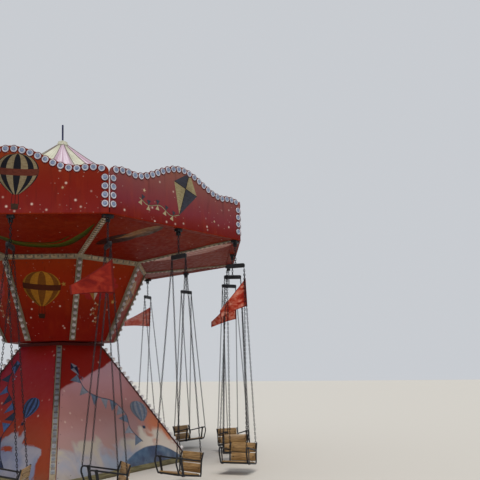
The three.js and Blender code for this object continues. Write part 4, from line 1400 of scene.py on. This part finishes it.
# Swings, measured from the ground below their pin: x outward, y backwards, z up. Places are (y, z), and the
# eye's profile is (radius, height)
swing = {
    "pinHeight": 3.70,
    "eye": [(0.009, -0.011), (0.018, -0.011), (0.02, -0.008), (0.02, 0.008), (0.018, 0.011), (0.009, 0.011),
            (0.009, -0.011)],
    "eyeFacets": 20,
    "eyeDrop": 0.014,
    "spreaderHeight": 3.357,
    "spreaderLength": 0.32,
    "spreaderDepth": 0.070,
    "spreaderThickness": 0.030,
    "spreaderCorner": 0.024,
    "spreaderEdge": 0.0015,
    "spreaderClear": 0.012,
    "chainFoot": 0.012,
    "hangOut": 0.001,
    "hangDrop": 0.034,
    "armLift": 0.004,
    "halfWidth": 0.225,
    "armFront": (-0.29, 0.445),
    "armRear": (0.19, 0.343),
    "boardFront": (-0.25, 0.232),
    "boardRear": (0.175, 0.162),
    "backTop": (0.232, 0.462),
    "legBulge": 0.018,
    "legBulgeDrop": 0.07,
    "tube": 0.012,
    "cornerBend": 0.035,
    "strapWidth": 0.04,
    "strapThickness": 0.006,
    "strapCut": 0.001,
    "strapSetback": 0.08,
    "collar": (0.044, 0.03, 0.004),
    "collarHalf": 0.016,
    "lugLift": 0.014,
    "wood": 0.018,
    "woodEdge": 0.003,
    "woodGap": 0.0015,
    "seatCorner": 0.03,
    "seatShort": 0.002,
    "planks": [(0.012, 0.141, 0.016), (0.153, 0.305, 0.026)],  # from, to and corner, up the back
    "plankThickness": 0.014,
    "plankBehind": 0.016,
}
# Links: the wire's thickness, the step from one link to the next, and the width over all
longChain = {"wire": 0.0078, "pitch": 0.036, "width": 0.027}
shortChain = {"wire": 0.010, "pitch": 0.041, "width": 0.035}
shackle = {"wire": 0.009, "pitch": 0.040, "width": 0.036}
lug = {"wire": 0.007, "pitch": 0.02, "width": 0.026}
# Dome-headed bolts: across the chair, and how far up the back, along the seat and along the spreader
chairBolt = {
    "profile": [(0, -0.001), (0.009, -0.001), (0.0085, 0.002), (0.005, 0.005), (0, 0.006)],
    "facets": 8,
    "across": (-0.17, 0.17),
    "back": (0.076, 0.228),
    "seat": (0.03, 0.395),
    "spreader": (-0.148, 0, 0.148),
    "frontLift": -0.002,
}


# A link: a four-sided wire round two half circles joined by straights
def chainLink(size):
    wire = 0.55 * size["wire"]  # so that the four-sided wire looks as thick as a round one
    angle = np.radians([0, 60, 120, 180, 180, 240, 300, 360])[:, None]
    radius = (size["width"] - size["wire"]) / 2
    straight = size["pitch"] + size["wire"] - 2 * radius
    half = np.array([1, 1, 1, 1, -1, -1, -1, -1])[:, None] * straight / 2
    turn = np.radians([0, 90, 180, 270])[None, :]
    reach = radius + wire * np.cos(turn)
    link = (reach * np.cos(angle), wire * np.sin(turn), half + reach * np.sin(angle))
    points = np.stack(np.broadcast_arrays(*link), axis=-1)
    return form(points, gridFaces(8, 4, wrapColumns=True, wrapRows=True))


# Links one pitch apart from start to end, every second one turned a quarter
def chainRun(start, end, size):
    start, end = np.array(start, float), np.array(end, float)
    length = np.linalg.norm(end - start)
    count = max(1, round(length / size["pitch"]))
    along = (end - start) / length
    origins = start + along * ((np.arange(count) + 0.5) * length / count)[:, None]
    flat = unit(np.cross(along, (1, 0.35, 0)))
    square = np.cross(along, flat)
    odd = (np.arange(count) % 2)[:, None]
    first = (1 - odd) * flat + odd * square
    second = np.cross(along, first)
    axes = np.stack([first, second, np.broadcast_to(along, first.shape)], axis=1)
    return copies(chainLink(size), origins, axes)


# A line through points whose inner corners are rounded by quadratic curves
def roundedLine(points, radius):
    p = np.array(points, float)
    t = np.linspace(0, 1, 5)[:, None]
    line = [p[:1]]
    for before, here, after in zip(p[:-2], p[1:-1], p[2:]):
        a = here + unit(before - here) * min(radius, np.linalg.norm(before - here) * 0.45)
        b = here + unit(after - here) * min(radius, np.linalg.norm(after - here) * 0.45)
        line.append((1 - t) ** 2 * a + 2 * t * (1 - t) * here + t**2 * b)
    return np.concatenate([*line, p[-1:]])


# The short chain from the eye, and on each side a shackle and two long chains down to the arm's ends
def swingChains():
    top = swing["spreaderHeight"]
    eye = swing["pinHeight"] - swing["eyeDrop"]
    forms = [chainRun((0, 0, eye), (0, 0, top + swing["chainFoot"]), shortChain)]
    for side in (-1, 1):
        hole = side * (swing["spreaderLength"] / 2 - swing["spreaderClear"])
        forms.append(chainRun((hole, 0, top), (hole, 0, top - shackle["pitch"]), shackle))
        hang = (hole + side * swing["hangOut"], 0, top - swing["hangDrop"])
        for y, z in (swing["armFront"], swing["armRear"]):
            arm = (side * swing["halfWidth"], y, z + swing["armLift"])
            forms.append(chainRun(hang, arm, longChain))
    return joined(forms)


# Both sides of the chair, each one bent tube, the straps, the cross tubes, the spreader and its eye
def chairFrame():
    half, drop, back = swing["halfWidth"], swing["wood"] + swing["tube"], swing["strapSetback"]
    tube = roundSection(swing["tube"], 10)
    strap = flatSection(swing["strapWidth"], swing["strapThickness"], swing["strapCut"])
    collar = flatSection(*swing["collar"])
    arms = swing["armFront"], swing["armRear"]
    (frontY, frontZ), (rearY, rearZ) = arms
    slope = (rearZ - frontZ) / (rearY - frontY)
    feet = [(y, z - drop) for y, z in (swing["boardFront"], swing["boardRear"])]
    bend = (frontY - swing["legBulge"], frontZ - swing["legBulgeDrop"])
    tubeLine = [arms[1], arms[0], bend, *feet, arms[1], swing["backTop"]]
    forms = []
    for side in (-1, 1):
        x = side * half
        line = roundedLine([(x, *spot) for spot in tubeLine], swing["cornerBend"])
        forms.append(carried(line, tube, (side, 0, 0)))
        upper, lower = ((x, y + back, z + slope * back) for y, z in (arms[0], feet[0]))
        forms.append(carried(np.linspace(upper, lower, 6), strap, (0, 1, 0)))
        for spot in (upper, lower):
            ends = [(x + way * swing["collarHalf"], *spot[1:]) for way in (-1, 1)]
            forms.append(carried(ends, collar, (0, 1, 0)))
        for y, z in arms:
            forms.append(copies(chainLink(lug), [(x, y, z + swing["lugLift"])], [np.eye(3)]))
    for foot in feet:
        forms.append(carried([(-half, *foot), (half, *foot)], tube, (0, 1, 0)))
    length, depth, thickness = (swing[f"spreader{key}"] for key in ("Length", "Depth", "Thickness"))
    bar = roundedBoard(length, depth, thickness, swing["spreaderCorner"], swing["spreaderEdge"])
    place = (0, thickness / 2, swing["spreaderHeight"])
    forms.append(copies(bar, [place], [[(1, 0, 0), (0, 0, 1), (0, -1, 0)]]))
    eye = turned(swing["eye"], swing["eyeFacets"])
    forms.append(copies(eye, [(0, 0, swing["pinHeight"])], [[(1, 0, 0), (0, 0, -1), (0, 1, 0)]]))
    return joined(forms)


# The plane of the seat or the back: a point at its lower edge, the way along it and the way out of it
def boardPlace(low, high):
    low, high = (np.array((0, *swing[end])) for end in (low, high))
    way = unit(high - low)
    return low, way, np.cross((1, 0, 0), way)


# Sitting board and two back planks, rounded at their corners
def chairBoards():
    width = 2 * (swing["halfWidth"] - swing["tube"] - swing["woodGap"])
    forms = []

    def lay(low, way, up, near, far, thickness, corner, proud):
        shape = roundedBoard(width, far - near, thickness, corner, swing["woodEdge"])
        middle = low + way * (near + far) / 2 + up * proud
        placed = copies(shape, [middle], [[(1, 0, 0), way, up]])
        placed["place"] = shape["points"] + [0, 0.7 * near, 0.3 * len(forms)]
        forms.append(placed)

    seat, back = boardPlace("boardFront", "boardRear"), boardPlace("boardRear", "backTop")
    end = math.dist(swing["boardFront"], swing["boardRear"]) - swing["seatShort"]
    lay(*seat, 0, end, swing["wood"], swing["seatCorner"], -swing["wood"])
    for near, far, corner in swing["planks"]:
        lay(*back, near, far, swing["plankThickness"], corner, -swing["plankBehind"])
    return joined(forms)


# Dome-headed bolts through the planks, from both sides, and the seat, and through the spreader
def chairBolts():
    spots, axes = [], []
    rear, way, out = boardPlace("boardRear", "backTop")
    for x in chairBolt["across"]:
        for distance in chairBolt["back"]:
            for face, lift in ((1, chairBolt["frontLift"]), (-1, -swing["plankBehind"])):
                spots.append(rear + way * distance + out * lift + (x, 0, 0))
                axes.append([(1, 0, 0), way * face, out * face])
    front, way, out = boardPlace("boardFront", "boardRear")
    for x in chairBolt["across"]:
        for distance in chairBolt["seat"]:
            spots.append(front + way * distance + (x, 0, 0))
            axes.append([(1, 0, 0), way, out])
    for x in chairBolt["spreader"]:
        for face in (-1, 1):
            spots.append((x, face * swing["spreaderThickness"] / 2, swing["spreaderHeight"]))
            axes.append([(-face, 0, 0), (0, 0, 1), (0, face, 0)])
    return copies(turned(chairBolt["profile"], chairBolt["facets"]), spots, axes)


def swingAngle(n):
    return cornerAngle(n / 2)


# A swing's place on the ground, and its own three axes there: outward, sideways and up
def swingPlace(n):
    angle = swingAngle(n)
    radius = ride["middleHookRadius"] if n % 2 else ride["cornerHookRadius"]
    return polar(radius, angle, 0), np.array([polar(1, angle, 0), sideways(angle), (0, 0, 1)])


# Own place: the shape's own coordinates, moved along for each swing so that no two are marked alike
def placedSwing(shape, n):
    origin, axes = swingPlace(n)
    own = shape.get("place", shape["points"])
    placed = copies(shape, [origin], [axes])
    placed["place"] = own + [1.7 * n, 0, 0]
    return placed


# Sixteen swings from the same four forms, each set down at its own place on its own body
def makeSwings():
    chains, chair, boards, bolts = swingChains(), chairFrame(), chairBoards(), chairBolts()
    for n in range(2 * ride["sides"]):
        body = f"swing_{n + 1:02d}"
        hanger, seat = [f"{body}_hanger"], [f"{body}_seat"]
        makePiece(f"{body}_chains", placedSwing(chains, n), "chain", body, hanger, weld=False)
        makePiece(f"{body}_chair_frame", placedSwing(chair, n), "chairSteel", body, hanger)
        makePiece(f"{body}_planks", placedSwing(boards, n), "wood", body, seat, sharp=50)
        makePiece(f"{body}_bolts", placedSwing(bolts, n), "chain", body)


makeSwings()
makeBolts()
makeScrews()
print("swings ready")

# Pennants on the corner swings, each tied to the outer rear chain and drooping at its own angle
pennant = {
    # The front pennant gets the cloth with painted shade, the far one the cloth with painted backlight
    "finish": {0: "shadedPennant", 3: "backlitPennant"},
    "top": 3.15,
    "hoist": 0.46,
    "fly": 0.12,
    "length": 0.62,
    "droops": (20, 33, 33, 14, 24, 24, 24, 24),
    "tieInset": 0.01,
    "tieLap": 0.006,
    "standOff": 0.015,
    "curl": 0.03,
    "windHeading": 212.5,
    "outside": -90.0,
    "behind": 173.0,
    "ripple": 0.022,
    "thickness": 0.0012,
    "rows": 26,
    "columns": 38,
}


# The cloth flies with the wind, unless that would take it through the chair: then it lies at the nearer limit
def pennantHeading(n):
    local = (pennant["windHeading"] - swingAngle(n) + 180) % 360 - 180
    outside, behind = pennant["outside"], pennant["behind"]
    if outside < local < behind:
        return local
    return outside if (outside + behind - 360) / 2 < local < 0 else behind


# Where the hoist starts on the chain, and the ways down the chain, out to the fly end and square to both
def pennantPlace(n):
    top = np.array([swing["spreaderLength"] / 2 - pennant["tieInset"], 0, swing["spreaderHeight"]])
    foot = np.array([swing["halfWidth"], *swing["armRear"]])
    down = unit(foot - top)
    start = top + down * (swing["spreaderHeight"] - pennant["top"]) / -down[2]
    heading = pennantHeading(n)
    aside = sideways(heading)
    if aside[0] + aside[1] < 0:
        aside = -aside
    return start + aside * pennant["standOff"], down, polar(1, heading, 0), aside


# Point (v down the hoist, u to the fly end): the straight cut, drawn in along its edges and rippled by two
# sines that grow toward the fly end
def makePennants():
    length, hoist, fly = (pennant[key] for key in ("length", "hoist", "fly"))
    v = np.linspace(0, 1, pennant["rows"])[:, None]
    u = np.linspace(0, 1, pennant["columns"])[None, :]
    for n in range(0, 2 * ride["sides"], 2):
        body = f"swing_{n + 1:02d}"
        start, down, out, aside = pennantPlace(n)
        droop = math.radians(pennant["droops"][n // 2])
        middle = hoist / 2 + length * math.sin(droop)
        across = length * math.cos(droop) * u - pennant["tieLap"] + 0 * v
        drop = (1 - u) * v * hoist + u * (middle + (v - 0.5) * fly)
        drop = drop + pennant["curl"] * np.sin(np.pi * u) * (0.5 - v)
        swell = np.sin(5.2 * u + 2.1 * v + 0.9 * n) + 0.4 * np.sin(11 * u - 3.4 * v + n)
        ripple = pennant["ripple"] * u**0.8 * swell * (1 - 0.25 * u)
        points = start + across[..., None] * out + drop[..., None] * down + ripple[..., None] * aside
        own = np.stack([across, drop, 0 * across + 2.3 * n], axis=-1).reshape(-1, 3)
        marks = np.stack([v + 0 * u, u + 0 * v, 0 * across], axis=-1).reshape(-1, 3)
        origin, axes = swingPlace(n)
        shape = form(points @ axes + origin, gridFaces(*across.shape), place=own, colour=marks)
        finish = pennant["finish"].get(n // 2, "pennant")
        cloth = makePiece(f"{body}_pennant_cloth", shape, finish, body, [f"{body}_pennant"],
                          sharp=180)
        thicken(cloth, pennant["thickness"], 0)


makePennants()
print("pennants ready")

# The photograph's camera, in degrees, metres and millimetres
view = {
    "place": (8.826, -7.877, 1.68),
    "heading": 122.424,
    "pitch": 5.071,
    "roll": -1.180,
    "lens": 47.31,
    "sensor": 36.0,
    "shiftUp": 0.15,
    "farthest": 300,
}


# Axes from the heading and pitch by sines and cosines, then turned by the roll
def makeCamera():
    a, p, r = (math.radians(view[key]) for key in ("heading", "pitch", "roll"))
    ahead = Vector((math.cos(a) * math.cos(p), math.sin(a) * math.cos(p), math.sin(p)))
    right = Vector((math.sin(a), -math.cos(a), 0))
    up = right.cross(ahead)
    across = right * math.cos(r) + up * math.sin(r)
    upright = up * math.cos(r) - right * math.sin(r)
    lens = bpy.data.cameras.new("photo camera")
    lens.lens = view["lens"]
    lens.sensor_width = view["sensor"]
    lens.shift_y = view["shiftUp"]
    lens.clip_end = view["farthest"]
    camera = newObject("photo camera", lens)
    turn = Matrix((across, upright, -ahead)).transposed().to_4x4()
    camera.matrix_world = Matrix.Translation(view["place"]) @ turn
    bpy.context.scene.camera = camera


# An overcast sky, a soft sun and a pale floor just under the ground
light = {
    "skyStrength": 0.68,
    "skyColour": "eef2f8",
    "sunStrength": 2.0,
    "sunColour": "fff6ea",
    "sunAngle": 24.0,
    "sunHeading": -45.0,
    "sunHeight": 60.0,
    "floorShade": "c8c6c0",
    "floorSize": 120.0,
    "floorDrop": 0.0005,
    "floorPoints": 5,
}


def makeStage():
    count = light["floorPoints"]
    grid = np.linspace(-0.5, 0.5, count) * light["floorSize"]
    x, y = np.meshgrid(grid, grid)
    points = np.stack([x, y, 0 * x - light["floorDrop"]], axis=-1).reshape(-1, 3)
    mesh = bpy.data.meshes.new("floor")
    mesh.from_pydata(points.tolist(), [], gridFaces(count, count).tolist())
    material = startMaterial("pale floor", roughness=0.9)
    mesh.materials.append(finished(material, colour(light["floorShade"])))
    newObject("floor", mesh)
    world = bpy.data.worlds.new("pale studio")
    world.use_nodes = True
    sky = world.node_tree.nodes["Background"]
    sky.inputs["Color"].default_value = (*colour(light["skyColour"]), 1)
    sky.inputs["Strength"].default_value = light["skyStrength"]
    bpy.context.scene.world = world
    sun = bpy.data.lights.new("soft sun", "SUN")
    sun.energy = light["sunStrength"]
    sun.color = colour(light["sunColour"])
    sun.angle = math.radians(light["sunAngle"])
    lamp = newObject("soft sun", sun)
    height = math.radians(light["sunHeight"])
    toSun = Vector(polar(math.cos(height), light["sunHeading"], math.sin(height)))
    lamp.rotation_mode = "QUATERNION"
    lamp.rotation_quaternion = toSun.to_track_quat("Z", "Y")
    bpy.context.scene.view_settings.view_transform = "Standard"


makeCamera()
makeStage()
print("camera, floor and light ready")
